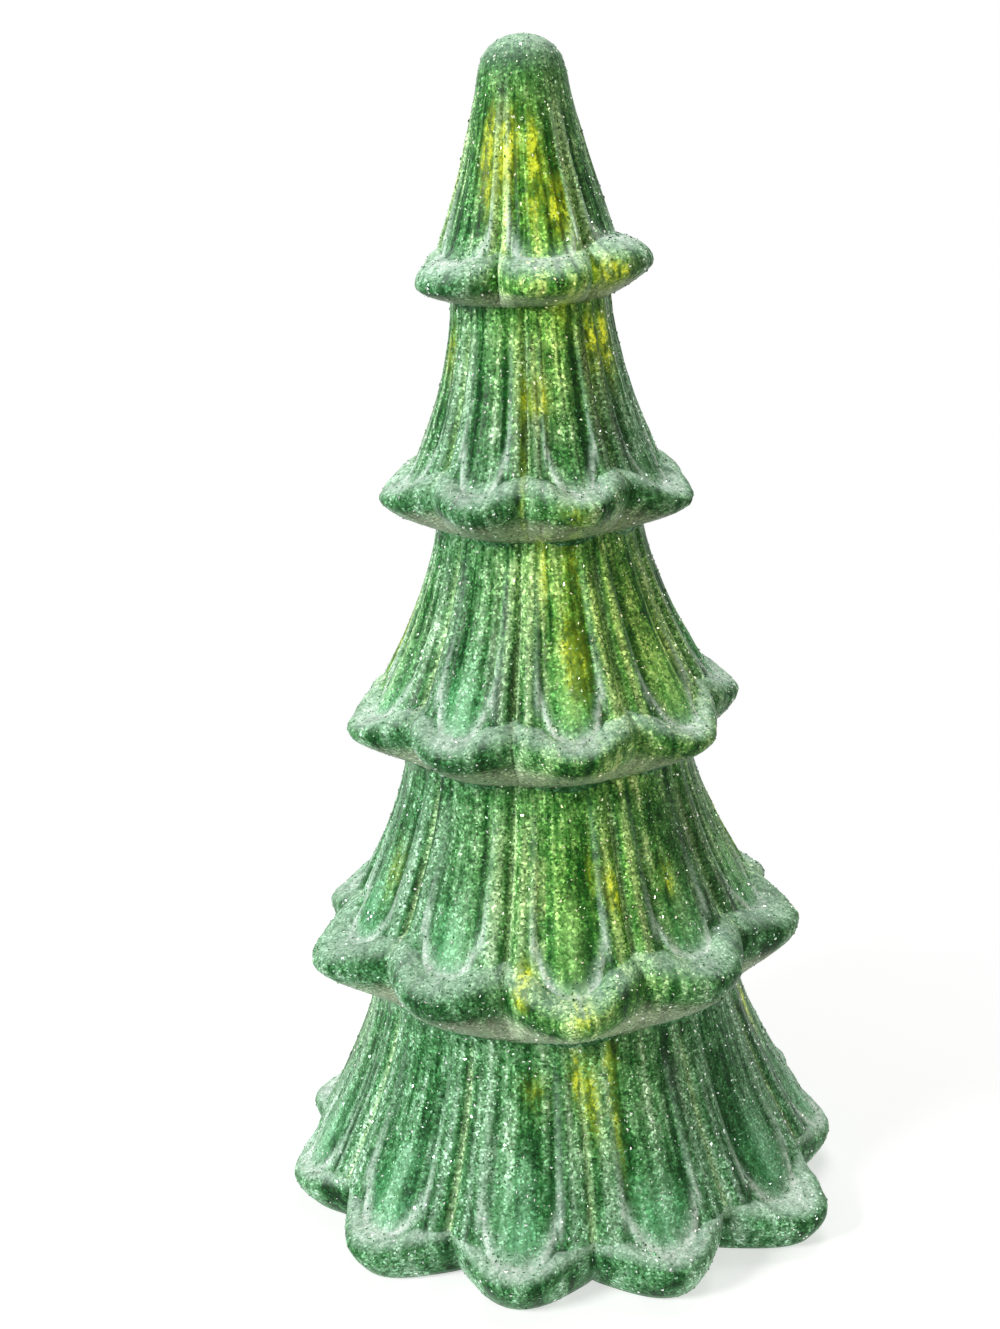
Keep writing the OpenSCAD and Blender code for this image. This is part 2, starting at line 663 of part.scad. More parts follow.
// Battery door, hinged at the back and held by a screw at the front
module battery_door() {
    color("lightgray") difference() {
        union() {
            block(-door_l / 2, door_l / 2, door_front, hinge_y, flange_z, door_top);
            along_x(-door_l / 2, door_l / 2, hinge_y, hinge_z, barrel_r);
            along_x(-door_l / 2 - pin_l, door_l / 2 + pin_l, hinge_y, hinge_z, pin_r);
            block(-tab_r, tab_r, tab_y, door_front + past, flange_z, door_top);
            translate([0, tab_y, flange_z]) cylinder(r = tab_r, h = tab_t);
        }
        translate([0, tab_y, flange_z - past])
            cylinder(r = lock_head_r + lock_play, h = lock_seat - flange_z + past);
        translate([0, tab_y, flange_z]) cylinder(r = lock_r + pin_fit, h = tab_t + past);
    }
}
module door_screw() {
    color("silver") translate([0, tab_y, 0]) difference() {
        union() {
            translate([0, 0, lock_seat - lock_head_h]) cylinder(r = lock_head_r, h = lock_head_h);
            translate([0, 0, lock_seat]) cylinder(r = lock_r, h = lock_l);
        }
        for (a = [0, 90])
            rotate([0, 0, a]) translate([0, 0, lock_seat - lock_head_h])
                cube([1.3 * lock_head_r, 0.7, 1.6], center = true);
    }
}
module screw_washer() {
    color("black") translate([0, tab_y, tab_top]) ring(washer_r, lock_r, washer_t);
}

// Batteries and their contacts: each cell is turned end for end from the one beside it
module cell_turn(i) {
    translate([0, cell_y[i], cell_z]) rotate([0, 0, i == 1 ? 180 : 0]) children();
}
module battery(i) {
    nub = bay_l / 2 - plate_t;
    color("darkgreen") cell_turn(i) {
        along_x(nub - cell_l, nub - nub_h, 0, 0, cell_r);
        along_x(nub - nub_h - past, nub, 0, 0, nub_r);
    }
}
spring_wire = 0.4;
spring_turns = 4;
spring_big = 5;
spring_small = 3;
spring_rings = 8 * spring_turns;
spring_run = spring_l - 2 * spring_wire;
spring_path = [for (i = [0 : spring_rings])
    let (t = i / spring_rings, r = spring_big + (spring_small - spring_big) * t)
    [plate_t - bay_l / 2 + spring_wire + spring_run * t,
        r * cos(360 * spring_turns * t), r * sin(360 * spring_turns * t)]];
module spring(i) {
    color("silver") cell_turn(i)
        tube(spring_path, [for (p = spring_path) [0, p[1], p[2]]], spring_wire, 6);
}
module contact_plate(side, from, to) {
    x = side * (bay_l / 2 - plate_t / 2);
    block(x - plate_t / 2, x + plate_t / 2, cell_y[from] - plate_w / 2, cell_y[to] + plate_w / 2,
        plate_z, roof_z - cell_gap);
}
module solder_tab(tab) {
    block(tab[0] - plate_t / 2, tab[0] + plate_t / 2, tab[1] - tab_w / 2, tab[1] + tab_w / 2,
        roof_z - past, tab[2]);
}
module plate_plus() {
    color("silver") {
        contact_plate(1, 0, 0);
        solder_tab(plus_tab);
    }
}
module plate_minus() {
    color("silver") {
        contact_plate(-1, 2, 2);
        solder_tab(minus_tab);
    }
}
module plate_bridge_left() {
    color("silver") contact_plate(-1, 0, 1);
}
module plate_bridge_right() {
    color("silver") contact_plate(1, 1, 2);
}

// Slide switch with three places: off, on and timer. It lies across the tree's X axis
module switch_body() {
    color("black") difference() {
        union() {
            block(switch_x - switch_w / 2, switch_x + switch_w / 2, -switch_l / 2, switch_l / 2,
                floor_top, floor_top + switch_h);
            block(switch_x - switch_w / 2, switch_x + switch_w / 2, -switch_l / 2 - ear_l,
                switch_l / 2 + ear_l, floor_top, floor_top + ear_t);
            for (side = [-1, 1])
                translate([switch_x, side * switch_pin, (floor_top + pin_top) / 2])
                    cube([pin_w, pin_w, pin_top - floor_top], center = true);
        }
        block(switch_x - slot_w / 2 - carrier_lap, switch_x + slot_w / 2 + carrier_lap,
            switch_wall - switch_l / 2, switch_l / 2 - switch_wall,
            floor_top - past, floor_top + carrier_t + 2 * knob_gap);
        at_ears(floor_top - past) cylinder(r = screw_r + snug, h = ear_t + 2 * past);
    }
}
module switch_knob() {
    color("black") translate([switch_x, 0, 0]) {
        block(-knob_w / 2 - carrier_lap, knob_w / 2 + carrier_lap, -knob_l / 2 - carrier_lap,
            knob_l / 2 + carrier_lap, floor_top + knob_gap, floor_top + knob_gap + carrier_t);
        difference() {
            block(-knob_w / 2, knob_w / 2, -knob_l / 2, knob_l / 2, flange_z + knob_rise,
                floor_top + knob_gap + past);
            for (i = [-1 : 1])
                translate([0, i * ridge_pitch, flange_z + knob_rise])
                    cube([2 * knob_w, ridge_pitch / 2, 2 * ridge_h], center = true);
        }
    }
}
module switch_screws() {
    color("silver") at_ears(floor_top + ear_t - short_screw_l) screw(short_screw_l);
}

// Timer board
module timer_board() {
    color("seagreen") difference() {
        block(board_x - board_l / 2, board_x + board_l / 2, board_y - board_w / 2,
            board_y + board_w / 2, board_z, board_top);
        at_board_posts(board_z - past) cylinder(r = screw_r + snug, h = board_t + 2 * past);
    }
}
module timer_chip() {
    color("black") block(board_x - 2, board_x + 3, board_y - 2, board_y + 2, board_top, board_top + 1.6);
}
module timer_crystal() {
    color("silver") translate([board_x + 6.5, board_y, board_top]) {
        for (side = [-1, 1])
            translate([0, side * 1.2, 0]) cylinder(r = 1, h = 5);
        block(-1, 1, -1.2, 1.2, 0, 5);
    }
}
module timer_capacitor() {
    color("navy") translate([board_x + 0.5, board_y - 5, board_top]) cylinder(r = 2, h = 5);
}
module board_screws() {
    color("silver") at_board_posts(board_top - short_screw_l) screw(short_screw_l);
}
module lead_red() {
    color("red") lead(red_route);
}
module lead_black() {
    color("black") lead(black_route);
}
module lead_switch() {
    color("gold") lead(switch_route);
}
module lead(route) {
    path = bent(route);
    side = cross([0, 0, 1], route[len(route) - 1] - route[0]);
    tube(path, [for (p = path) side], lead_r, 8);
}

// Light string
module wire_grommet() {
    color("dimgray") translate([wire_x, wire_y, 0]) {
        translate([0, 0, cup_top]) ring(3 * wire_r, wire_r + snug, cover_t);
        translate([0, 0, cover_top]) ring(5 * wire_r, wire_r + snug, collar_h);
    }
}
module light_stem() {
    color("aliceblue", 0.5)
        translate([0, 0, cover_top]) ring(stem_r, stem_r - stem_wall, stem_top - cover_top);
}
module stem_cap() {
    color("white") difference() {
        union() {
            translate([0, 0, cap_z]) cylinder(r = disc_r, h = cap_t);
            translate([0, 0, cap_z - sleeve_h]) cylinder(r = stem_r + sleeve_wall, h = sleeve_h + past);
        }
        translate([0, 0, cap_z - sleeve_h - past])
            cylinder(r = stem_r + snug, h = stem_top - cap_z + sleeve_h + past);
        translate(turned([coil_top_r, cap_z - past], coil_angle(1)))
            cylinder(r = wire_r + snug, h = cap_t + 2 * past);
    }
}
module light_wire() {
    color("peru") tube(coil_path, coil_sides, wire_r, 6);
}
module led(i) {
    t = led_at[i];
    run = coil_point(t + 0.001) - coil_point(t - 0.001);
    color("khaki") translate(coil_point(t))
        rotate([0, acos(run[2] / norm(run)), atan2(run[1], run[0])]) {
            translate([0, 0, -led_l / 2]) cylinder(r = led_r, h = led_l);
            for (side = [-1, 1])
                translate([0, 0, side * led_l / 2]) sphere(r = led_r);
        }
}

glass_tree();
seal_ring();
base_cup();
rubber_feet();
base_cover();
cover_screws();
battery_door();
door_screw();
screw_washer();
battery(0);  // battery_front
battery(1);  // battery_middle
battery(2);  // battery_back
spring(0);  // spring_front
spring(1);  // spring_middle
spring(2);  // spring_back
plate_plus();
plate_minus();
plate_bridge_left();
plate_bridge_right();
switch_body();
switch_knob();
switch_screws();
timer_board();
timer_chip();
timer_crystal();
timer_capacitor();
board_screws();
lead_red();
lead_black();
lead_switch();
wire_grommet();
light_stem();
stem_cap();
light_wire();
led(0);  // led_01
led(1);  // led_02
led(2);  // led_03
led(3);  // led_04
led(4);  // led_05
led(5);  // led_06
led(6);  // led_07
led(7);  // led_08
led(8);  // led_09
led(9);  // led_10
led(10);  // led_11
led(11);  // led_12
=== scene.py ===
import math
import random

import bmesh
import bpy
import numpy as np
from mathutils import Matrix, Vector, noise


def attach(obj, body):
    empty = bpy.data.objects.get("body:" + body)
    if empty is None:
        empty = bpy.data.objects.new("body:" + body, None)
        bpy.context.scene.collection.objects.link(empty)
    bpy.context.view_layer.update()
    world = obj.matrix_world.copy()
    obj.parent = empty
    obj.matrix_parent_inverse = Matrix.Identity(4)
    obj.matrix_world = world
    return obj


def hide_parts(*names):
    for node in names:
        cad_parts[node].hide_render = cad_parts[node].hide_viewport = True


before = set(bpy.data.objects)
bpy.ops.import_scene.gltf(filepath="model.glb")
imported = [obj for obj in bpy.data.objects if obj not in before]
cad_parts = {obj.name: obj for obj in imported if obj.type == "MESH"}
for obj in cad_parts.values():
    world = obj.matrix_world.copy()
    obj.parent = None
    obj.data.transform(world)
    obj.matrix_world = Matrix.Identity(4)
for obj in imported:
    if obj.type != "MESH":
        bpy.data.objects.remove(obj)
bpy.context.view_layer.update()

mm = 0.001
scene = bpy.context.scene
scene.view_settings.view_transform = "Standard"


# View: a camera a little above the tree and tipped a few degrees, as the photograph was taken.
# It was fitted to the tree's own lobes, so that picture and model line up.
picture_height = 1329
focal_pixels = 1979.56
sensor = 36.0
pitch = math.radians(17.9277)
roll = math.radians(2.6423)
camera_place = Vector((-14.47, -608.0, 378.8)) * mm
level = Vector((1, 0, 0))
forward = Vector((0, math.cos(pitch), -math.sin(pitch)))
upright = level.cross(forward)
rightward = math.cos(roll) * level - math.sin(roll) * upright
upward = math.sin(roll) * level + math.cos(roll) * upright
camera_data = bpy.data.cameras.new("view")
camera_data.sensor_width = sensor
camera_data.lens = sensor * focal_pixels / picture_height
camera_data.clip_start = 0.01
camera = bpy.data.objects.new("view", camera_data)
camera.matrix_world = Matrix.Translation(camera_place) @ Matrix(
    (rightward, upward, -forward)).transposed().to_4x4()
scene.collection.objects.link(camera)
scene.camera = camera


# Stage: a pale table top that runs out into a white surround, with a large soft lamp on the
# left, a weak warm one on the right and one above and behind.
def feed(tree, node, inputs):
    """Sets a node's inputs. Each is a plain value or the output socket that feeds it."""
    for name, value in inputs.items():
        if isinstance(value, bpy.types.NodeSocket):
            tree.links.new(value, node.inputs[name])
        else:
            node.inputs[name].default_value = value


def add(tree, kind, inputs=None, family="ShaderNode", **settings):
    """Adds a node with its settings and its inputs."""
    node = tree.nodes.new(family + kind)
    for name, value in settings.items():
        setattr(node, name, value)
    feed(tree, node, inputs or {})
    return node


def math_of(tree, operation, a, b=0.0, c=0.0):
    return add(tree, "Math", {0: a, 1: b, 2: c}, operation=operation).outputs[0]


def between(tree, value, low, high, to_low=0.0, to_high=1.0):
    """Carries a value over from one span to another, eased at both ends."""
    spans = {"Value": value, "From Min": low, "From Max": high, "To Min": to_low, "To Max": to_high}
    return add(tree, "MapRange", spans, interpolation_type="SMOOTHSTEP").outputs["Result"]


def own_place(tree):
    return add(tree, "TexCoord").outputs["Object"]


def seen_directly(tree):
    """1 for what the camera, a reflection or clear glass sees, and 0 for light on a surface."""
    path = add(tree, "LightPath")
    mirrored = math_of(tree, "MAXIMUM", path.outputs["Is Camera Ray"], path.outputs["Is Glossy Ray"])
    return math_of(tree, "MAXIMUM", mirrored, path.outputs["Is Transmission Ray"])


def grey(tree, tone):
    return add(tree, "CombineColor", {0: tone, 1: tone, 2: tone}).outputs["Color"]


def new_finish(name):
    """A new material, with its node tree and its Principled shader."""
    made = bpy.data.materials.new(name)
    made.use_nodes = True
    return made, made.node_tree, made.node_tree.nodes["Principled BSDF"]


def soft_lamp(name, place, size, power, tint):
    """A round lamp that shines at the middle of the tree."""
    tree_middle = Vector((0, 0, 0.19))
    light = bpy.data.lights.new(name, "AREA")
    light.shape = "DISK"
    light.size = size
    light.energy = power
    light.color = tint
    lamp = bpy.data.objects.new(name, light)
    aim = tree_middle - Vector(place)
    lamp.matrix_world = Matrix.Translation(place) @ aim.to_track_quat("-Z", "Y").to_matrix().to_4x4()
    scene.collection.objects.link(lamp)


ambient = 0.16
world = bpy.data.worlds.new("surround")
world.use_nodes = True
scene.world = world
surround = world.node_tree
brightness = math_of(surround, "MULTIPLY_ADD", seen_directly(surround), 1 - ambient, ambient)
feed(surround, surround.nodes["Background"], {"Color": (1, 1, 1, 1), "Strength": brightness})
soft_lamp("key_lamp", place=(-1.05, -0.70, 0.80), size=0.5, power=19.0, tint=(1.0, 1.0, 0.99))
soft_lamp("fill_lamp", place=(1.1, -0.8, 0.45), size=0.8, power=2.2, tint=(1.0, 0.95, 0.60))
soft_lamp("back_lamp", place=(0.2, 0.45, 1.2), size=0.8, power=8.0, tint=(1.0, 1.0, 1.0))

table_size = 8.0
table_tone = 0.56
table_glow = 0.62
table_bounce = 0.5
fade_start = 0.11
fade_end = 0.30
table_shape = bmesh.new()
bmesh.ops.create_grid(table_shape, x_segments=1, y_segments=1, size=table_size / 2)
table_mesh = bpy.data.meshes.new("table")
table_shape.to_mesh(table_mesh)
table_shape.free()
table = bpy.data.objects.new("table", table_mesh)
scene.collection.objects.link(table)
table_finish, tree, skin = new_finish("pale_table")
distance = add(tree, "VectorMath", {0: own_place(tree)}, operation="LENGTH").outputs["Value"]
far = between(tree, distance, fade_start, fade_end)
pale = math_of(tree, "MULTIPLY_ADD", far, -table_tone, table_tone)
# Near the tree the table also glows for light that falls on surfaces: painted bounce light that lights
# the base and the low lobes from below
bounce = math_of(tree, "MULTIPLY_ADD", far, -table_bounce, table_bounce)
glowing = math_of(tree, "MULTIPLY", math_of(tree, "MAXIMUM", seen_directly(tree), bounce),
                  math_of(tree, "MULTIPLY_ADD", far, 1 - table_glow, table_glow))
feed(tree, skin, {"Base Color": grey(tree, pale), "Roughness": 0.9, "Specular IOR Level": 0.0,
                  "Emission Color": grey(tree, glowing), "Emission Strength": 1.0})
# From below the table is clear, so that the underside of the base can be seen
from_below = add(tree, "NewGeometry").outputs["Backfacing"]
clear = add(tree, "BsdfTransparent").outputs[0]
sheer = add(tree, "MixShader", {0: from_below, 1: skin.outputs[0], 2: clear})
feed(tree, tree.nodes["Material Output"], {"Surface": sheer.outputs[0]})
table_mesh.materials.append(table_finish)


# Glass tree: one blown shell, silvered inside in streaks and dusted outside with frost and glitter.
# Each of its five tiers is a ring of lobes, and a lobe is a broad tongue between two narrow rolls.
# It stands on the seal ring, and its hem hides the base.
groove_depth = 1.7 * mm
crease_depth = 4.4 * mm
full_lip = 10 * mm
crest_share = 0.3
lobe_fullness = 0.92
scallop = 2.5 * mm
ledge_rise = 2.5 * mm
lip_curve = 1.4
lip_fall = 1.8
under_round = 0.95
hem_round = 6 * mm
wall = 3 * mm
tip_height = 11 * mm
seat_radius = 70.5 * mm
opening_radius = 55 * mm
seat_height = 5 * mm
round_steps = 560
skirt_steps = 12
skirt_crowding = 1.5
lip_steps = 8
under_steps = 7
tip_places = (1.0, 0.95, 0.84, 0.66, 0.4)
inside_places = (2.85, 2.3, 1.6, 0.95, 0.1)
tip_inside_places = (0.2, 1.0)


class Tier:
    """One ring of lobes. Across a lobe u runs from -1 to 1, and s runs down it: the skirt to 1,
    the lip to the nose at 2, and the underside to 3. Sizes are given in mm and the turn in degrees.
    Reach is the radius at the noses, nose their height above the tier's lower edge and waist the
    radius at its top. Lip is how far the lips stand out, climb their height as a share of that, and
    flare the curve of the skirt. Neck is the share of the grooves left at the waist, tongue its share
    of the lobe's width, notch the cut between two noses, bulb their fullness, rise the share of the
    scallops and relief that of the grooves. Pulled moves single lobes out and down."""

    def __init__(self, low, height, reach, nose, lip, waist, lobes, turn, flare, climb, neck, pulled,
                 tongue=0.52, notch=0.14, bulb=0.4, rise=1.0, relief=1.0):
        self.low = low * mm
        self.high = (low + height) * mm
        self.reach = reach * mm
        self.nose = nose * mm
        self.lip = lip * mm
        self.waist = waist * mm
        self.lobes = lobes
        self.turn = math.radians(turn)
        self.flare = flare
        self.climb = climb
        self.neck = neck
        self.tongue = tongue
        self.notch = notch
        self.bulb = bulb
        self.rise = rise
        self.relief = relief
        self.under = None
        uneven = random.Random(lobes)
        most_out = 1.0
        most_down = 1.2
        self.out = np.array([uneven.uniform(-most_out, most_out) for _ in range(lobes)]) * mm
        self.down = np.array([uneven.uniform(-most_down, most_down) for _ in range(lobes)]) * mm
        for lobe, (out, down) in pulled.items():
            self.out[lobe] = out * mm
            self.down[lobe] = down * mm

    def steps_round(self):
        """Angle, place across the lobe and lobe of every step round, with a step on each crease."""
        first = self.turn - math.pi / self.lobes
        start = round(first / (2 * math.pi) * round_steps)
        count = (np.arange(round_steps) - start) % round_steps
        borders = np.round(np.arange(self.lobes + 1) * round_steps / self.lobes)
        lobe = np.searchsorted(borders, count, side="right") - 1
        across = (count - borders[lobe]) / (borders[lobe + 1] - borders[lobe])
        return first + (lobe + across) * 2 * math.pi / self.lobes, 2 * across - 1, lobe

    def groove(self, u):
        v = np.abs(u)
        roll_share = (1 - self.tongue) / 2
        crest = crest_share * groove_depth
        side = (v - self.tongue - roll_share) / roll_share
        crease = crease_depth * min(1.0, self.lip / full_lip)
        rolled = crest + np.where(side < 0, groove_depth - crest, crease - crest) * side ** 2
        return self.relief * np.where(v < self.tongue, groove_depth * (v / self.tongue) ** 2, rolled)

    def skirt(self, u, z):
        share = (self.high - z) / (self.high - self.low - self.nose - self.climb * self.lip)
        flared = (self.reach - self.lip - self.waist) * np.maximum(0.0, share) ** self.flare
        return self.waist + flared - (self.neck + (1 - self.neck) * share) * self.groove(u)

    def outline(self, u, lobe, s):
        """Radius and height of the outside at u and s."""
        wave = np.sin(np.pi / 2 * u) ** 2
        full = (1 - np.sqrt(1 - lobe_fullness * u * u)) / (1 - math.sqrt(1 - lobe_fullness))
        notch = wave + self.bulb * (full - wave)
        nose_r = self.reach * (1 - self.notch * notch) + self.out[lobe] * (1 - notch)
        nose_z = self.low + self.nose + self.rise * scallop * notch - self.down[lobe] * (1 - notch)
        root_z = nose_z + self.climb * self.lip
        root_z = root_z + self.rise * ledge_rise * np.minimum(1.0, np.abs(u) / self.tongue) ** 3
        if s <= 1:
            z = self.high + (root_z - self.high) * s
            return self.skirt(u, z), z
        if s <= 2:
            r = self.skirt(u, root_z)
            stretch = math.sin(math.radians(90 * (s - 1))) ** lip_curve
            return r + (nose_r - r) * stretch, root_z + (nose_z - root_z) * (s - 1) ** lip_fall
        low_r = nose_r - hem_round if self.under is None else self.under
        tuck = under_round * math.sin(math.radians(90 * (3 - s))) + (1 - under_round) * (3 - s)
        return low_r + (nose_r - low_r) * tuck, self.low + (nose_z - self.low) * (3 - s)

    def inside(self, u, lobe, s):
        """Radius and height of the inside, one wall square in from the outside."""
        step = 0.02
        r, z = self.outline(u, lobe, s)
        r0, z0 = self.outline(u, lobe, s - step)
        r1, z1 = self.outline(u, lobe, s + step)
        run = np.hypot(r1 - r0, z1 - z0)
        return r + wall * (z1 - z0) / run, z - wall * (r1 - r0) / run


tiers = [
    Tier(low=1, height=76.5, reach=93.5, nose=10.5, lip=6.5, waist=60.5, lobes=11, turn=-12,
         flare=1.4, climb=0.5, neck=0.35,
         pulled={0: (2, 0), 1: (3, -1.5), 2: (8, 0), 3: (-1, 0), 9: (1, 1), 10: (4, -0.5)}),
    Tier(low=77.5, height=79, reach=81.5, nose=19, lip=13.5, waist=46, lobes=10, turn=3,
         flare=1.4, climb=0.38, neck=0.35,
         pulled={0: (0, 3), 1: (0, -1), 2: (1, 0), 3: (-4, 1), 7: (-3, 2), 8: (4, 2), 9: (0, 0)}),
    Tier(low=156.5, height=73.5, reach=65, nose=14, lip=10, waist=32.3, lobes=9, turn=8,
         flare=1.4, climb=0.45, neck=0.35,
         pulled={0: (0, 0), 1: (0, 3), 2: (-2.5, -1), 6: (-5, 2), 7: (2, 2), 8: (0, 0)}),
    Tier(low=230, height=69.5, reach=50, nose=12.5, lip=9.5, waist=24.8, lobes=8, turn=16,
         flare=1.6, climb=0.45, neck=0.35,
         pulled={0: (0, 0), 1: (2, 3), 2: (-6, 2), 5: (-6, 2), 6: (1, 1), 7: (0, 0)}),
    Tier(low=299.5, height=65.5, reach=38, nose=8.5, lip=11, waist=13, lobes=6, turn=8,
         flare=1.2, climb=0.72, neck=0.0,
         pulled={0: (0, 1.5), 1: (1, -2), 2: (-4, 1), 4: (-4, 2), 5: (2, 2.5)},
         tongue=0.72, notch=0.27, bulb=1.0, rise=0.0, relief=0.55),
]
for lower, upper in zip(tiers, tiers[1:]):
    upper.under = lower.waist
shoulder = tiers[-1].high
tip_radius = tiers[-1].waist

# The rings of the shell from the tip down outside, in under the hem, and up again inside
rings = [("tip", None, share) for share in tip_places]
for tier in reversed(tiers):
    rings += [("outer", tier, 1 - (1 - i / skirt_steps) ** skirt_crowding) for i in range(skirt_steps)]
    rings += [("outer", tier, 1 + i / lip_steps) for i in range(lip_steps)]
    rings += [("outer", tier, 2 + i / under_steps) for i in range(under_steps)]
rings.append(("outer", tiers[0], 3.0))
seat_corners = [(seat_radius, seat_height), (opening_radius, seat_height),
                (opening_radius, seat_height + wall), (seat_radius, seat_height + wall)]
rings += [("seat", None, corner) for corner in seat_corners]
for tier in tiers:
    rings += [("inner", tier, s) for s in inside_places]
rings += [("tip_inside", None, share) for share in tip_inside_places]


def eased(low, high, x):
    t = np.clip((x - low) / (high - low), 0.0, 1.0)
    return t * t * (3 - 2 * t)


def ring_shape(ring):
    """Radius, height and angle of a ring's points, with the place across the lobe and the lobe."""
    kind, tier, s = ring
    angle = 2 * math.pi * np.arange(round_steps) / round_steps
    u = np.zeros(round_steps)
    lobe = np.zeros(round_steps, int)
    if kind == "tip":
        angle, u, lobe = tiers[-1].steps_round()
        r, z = tip_radius * math.sqrt(1 - s * s), shoulder + tip_height * s
    elif kind == "tip_inside":
        r, z = (tip_radius - wall) * math.sqrt(1 - s * s), shoulder - wall + tip_height * s
    elif kind == "seat":
        r, z = s
    else:
        angle, u, lobe = tier.steps_round()
        r, z = tier.outline(u, lobe, s) if kind == "outer" else tier.inside(u, lobe, s)
    return np.stack([r + 0 * u, z + 0 * u, angle, u, lobe])


shape = np.stack([ring_shape(ring) for ring in rings])
# The lips and noses are rounded over by evening each ring out between its two neighbours
rounding_passes = 3
round_from = 1.35
round_to = 2.8
for _ in range(rounding_passes):
    before = shape[:, :2].copy()
    for index, (kind, tier, s) in enumerate(rings):
        if kind == "outer" and round_from < s < round_to:
            shape[index, :2] = (before[index - 1] + 2 * before[index] + before[index + 1]) / 4

flute_height = 0.55 * mm
flutes_end = 2.2
broad_across = 5.5
broad_down = 16
broad_slice = 0.5
narrow_across = 13
narrow_down = 9
narrow_slice = 7.5
narrow_share = 0.6
tier_apart = 40
lobe_apart = 3
swell = 0.8 * mm
swells_per_m = 26
swells_from = Vector((3.1, 7.7, 1.3))
dimple = 0.2 * mm
dimples_per_m = 150
dimples_from = Vector((9.2, 4.1, 6.6))
upright_share = 0.5
hem_still = 2 * mm
hem_easing = 12 * mm
noise_seed = 5
noise.seed_set(noise_seed)


def blown(place, ring, u, lobe):
    """The unevenness of blown glass: thin flutes down the skirts, slow swells and fine dimples."""
    kind, tier, s = ring
    out = Vector((place.x, place.y, 0)).normalized()
    row = tier_apart * tiers.index(tier) + lobe_apart * lobe
    broad = noise.noise(Vector((broad_across * u + row, broad_down * place.z, broad_slice)))
    narrow = noise.noise(Vector((narrow_across * u + row, narrow_down * place.z, narrow_slice)))
    thin = broad + narrow_share * narrow
    slow = noise.noise_vector(place * swells_per_m + swells_from) * swell
    fine = noise.noise_vector(place * dimples_per_m + dimples_from) * dimple
    fluted = out * thin * flute_height * (tier.neck + (1 - tier.neck) * min(1.0, s)) * (s < flutes_end)
    moved = slow + fine + fluted
    moved.z *= upright_share
    return moved * min(1.0, max(0.0, (place.z - hem_still) / hem_easing))


pole_radius = 0.01 * mm
shell = bmesh.new()
rows = []
where = []
for ring_number, (ring, points) in enumerate(zip(rings, shape)):
    row = []
    at_pole = points[0].max() < pole_radius
    for step in range(1 if at_pole else round_steps):
        r, z, angle, u, lobe = points[:, step]
        place = Vector((r * math.sin(angle), -r * math.cos(angle), z))
        if ring[0] == "outer":
            place += blown(place, ring, u, lobe)
        row.append(shell.verts.new(place))
        where.append((ring_number, step))
    rows.append(row * round_steps if at_pole else row)
for upper, lower in zip(rows, rows[1:]):
    for step in range(round_steps):
        after = (step + 1) % round_steps
        corners = (upper[step], lower[step], lower[after], upper[after])
        shell.faces.new(list(dict.fromkeys(corners)))
bmesh.ops.recalc_face_normals(shell, faces=shell.faces[:])
for face in shell.faces:
    face.smooth = True
glass_mesh = bpy.data.meshes.new("glass_tree_shell")
shell.to_mesh(glass_mesh)
shell.free()
glass = bpy.data.objects.new("glass_tree_shell", glass_mesh)
scene.collection.objects.link(glass)

# Where a light sits close behind thin silvering, its light painted on the glass as a glow: angle, height,
# half width, half height, strength
painted_glow_spots = [
    (-38, 345, 2.4, 10, 1.4), (-17, 345, 3.0, 10, 1.3), (7, 343, 2.2, 9, 1.2), (-30, 332, 3.4, 8, 0.7),
    (22, 327, 3.4, 9, 1.2), (2, 328, 3.0, 8, 0.6), (46, 309, 5, 4, 0.9), (20, 297, 3, 6, 0.5),
    (55, 288, 2.2, 9, 1.0), (42, 288, 2.2, 7, 1.0), (-1, 273, 3.5, 5, 1.3), (-8, 255, 0.9, 22, 0.5),
    (11, 242, 5, 4, 0.5), (0, 223, 2.0, 10, 0.7), (14, 223, 2.5, 9, 0.6), (11, 196, 4.5, 12, 1.1),
    (17, 125, 2.6, 6, 1.2), (12, 130, 2.4, 5, 0.6), (38, 124, 3.0, 3, 1.0), (-10, 104, 2.4, 4, 1.2),
    (-10, 98, 2.6, 3, 1.2), (4, 96, 3, 3, 1.2), (3, 66, 2.4, 7, 0.8), (7, 58, 2.4, 10, 1.0),
    (-9, 61, 4, 4, 0.7), (13, 55, 2, 14, 0.6), (13, 70, 3, 6, 0.4), (150, 340, 3, 12, 1.0),
    (-110, 338, 3, 12, 1.0), (95, 300, 4, 6, 0.8), (200, 270, 4, 9, 0.9), (-70, 285, 3, 8, 0.7),
    (-130, 262, 4, 9, 0.8), (120, 205, 4, 11, 0.9), (-95, 192, 4, 12, 0.8), (190, 186, 4, 12, 0.9),
    (-160, 128, 4, 10, 0.9), (95, 126, 4, 9, 0.9), (-65, 122, 4, 8, 0.6), (150, 100, 4, 4, 0.8),
    (170, 64, 3.5, 10, 0.9), (-115, 60, 4, 9, 0.8), (80, 62, 3.5, 9, 0.7),
]
# Broad places where the light of the lights inside is painted into the glass's colour as a warm tint, in
# the same order of numbers
painted_warm_regions = [
    (2, 334, 14, 30, 1.0), (22, 302, 20, 26, 0.6), (8, 280, 18, 30, 0.45), (16, 222, 24, 18, 0.55),
    (15, 195, 24, 28, 0.55), (50, 195, 18, 28, 0.8), (30, 163, 26, 9, 0.4), (12, 128, 30, 36, 0.9),
    (4, 96, 22, 9, 0.35), (9, 60, 28, 24, 0.2), (150, 335, 20, 30, 0.8), (-110, 335, 16, 28, 0.7),
    (200, 268, 24, 28, 0.5), (-120, 262, 22, 26, 0.5), (110, 205, 26, 28, 0.5),
    (190, 186, 26, 28, 0.55), (-95, 192, 24, 26, 0.4), (-160, 128, 32, 32, 0.5),
    (95, 126, 30, 30, 0.5), (170, 62, 32, 26, 0.5), (-115, 60, 30, 24, 0.45),
]
most_shine = 1.2


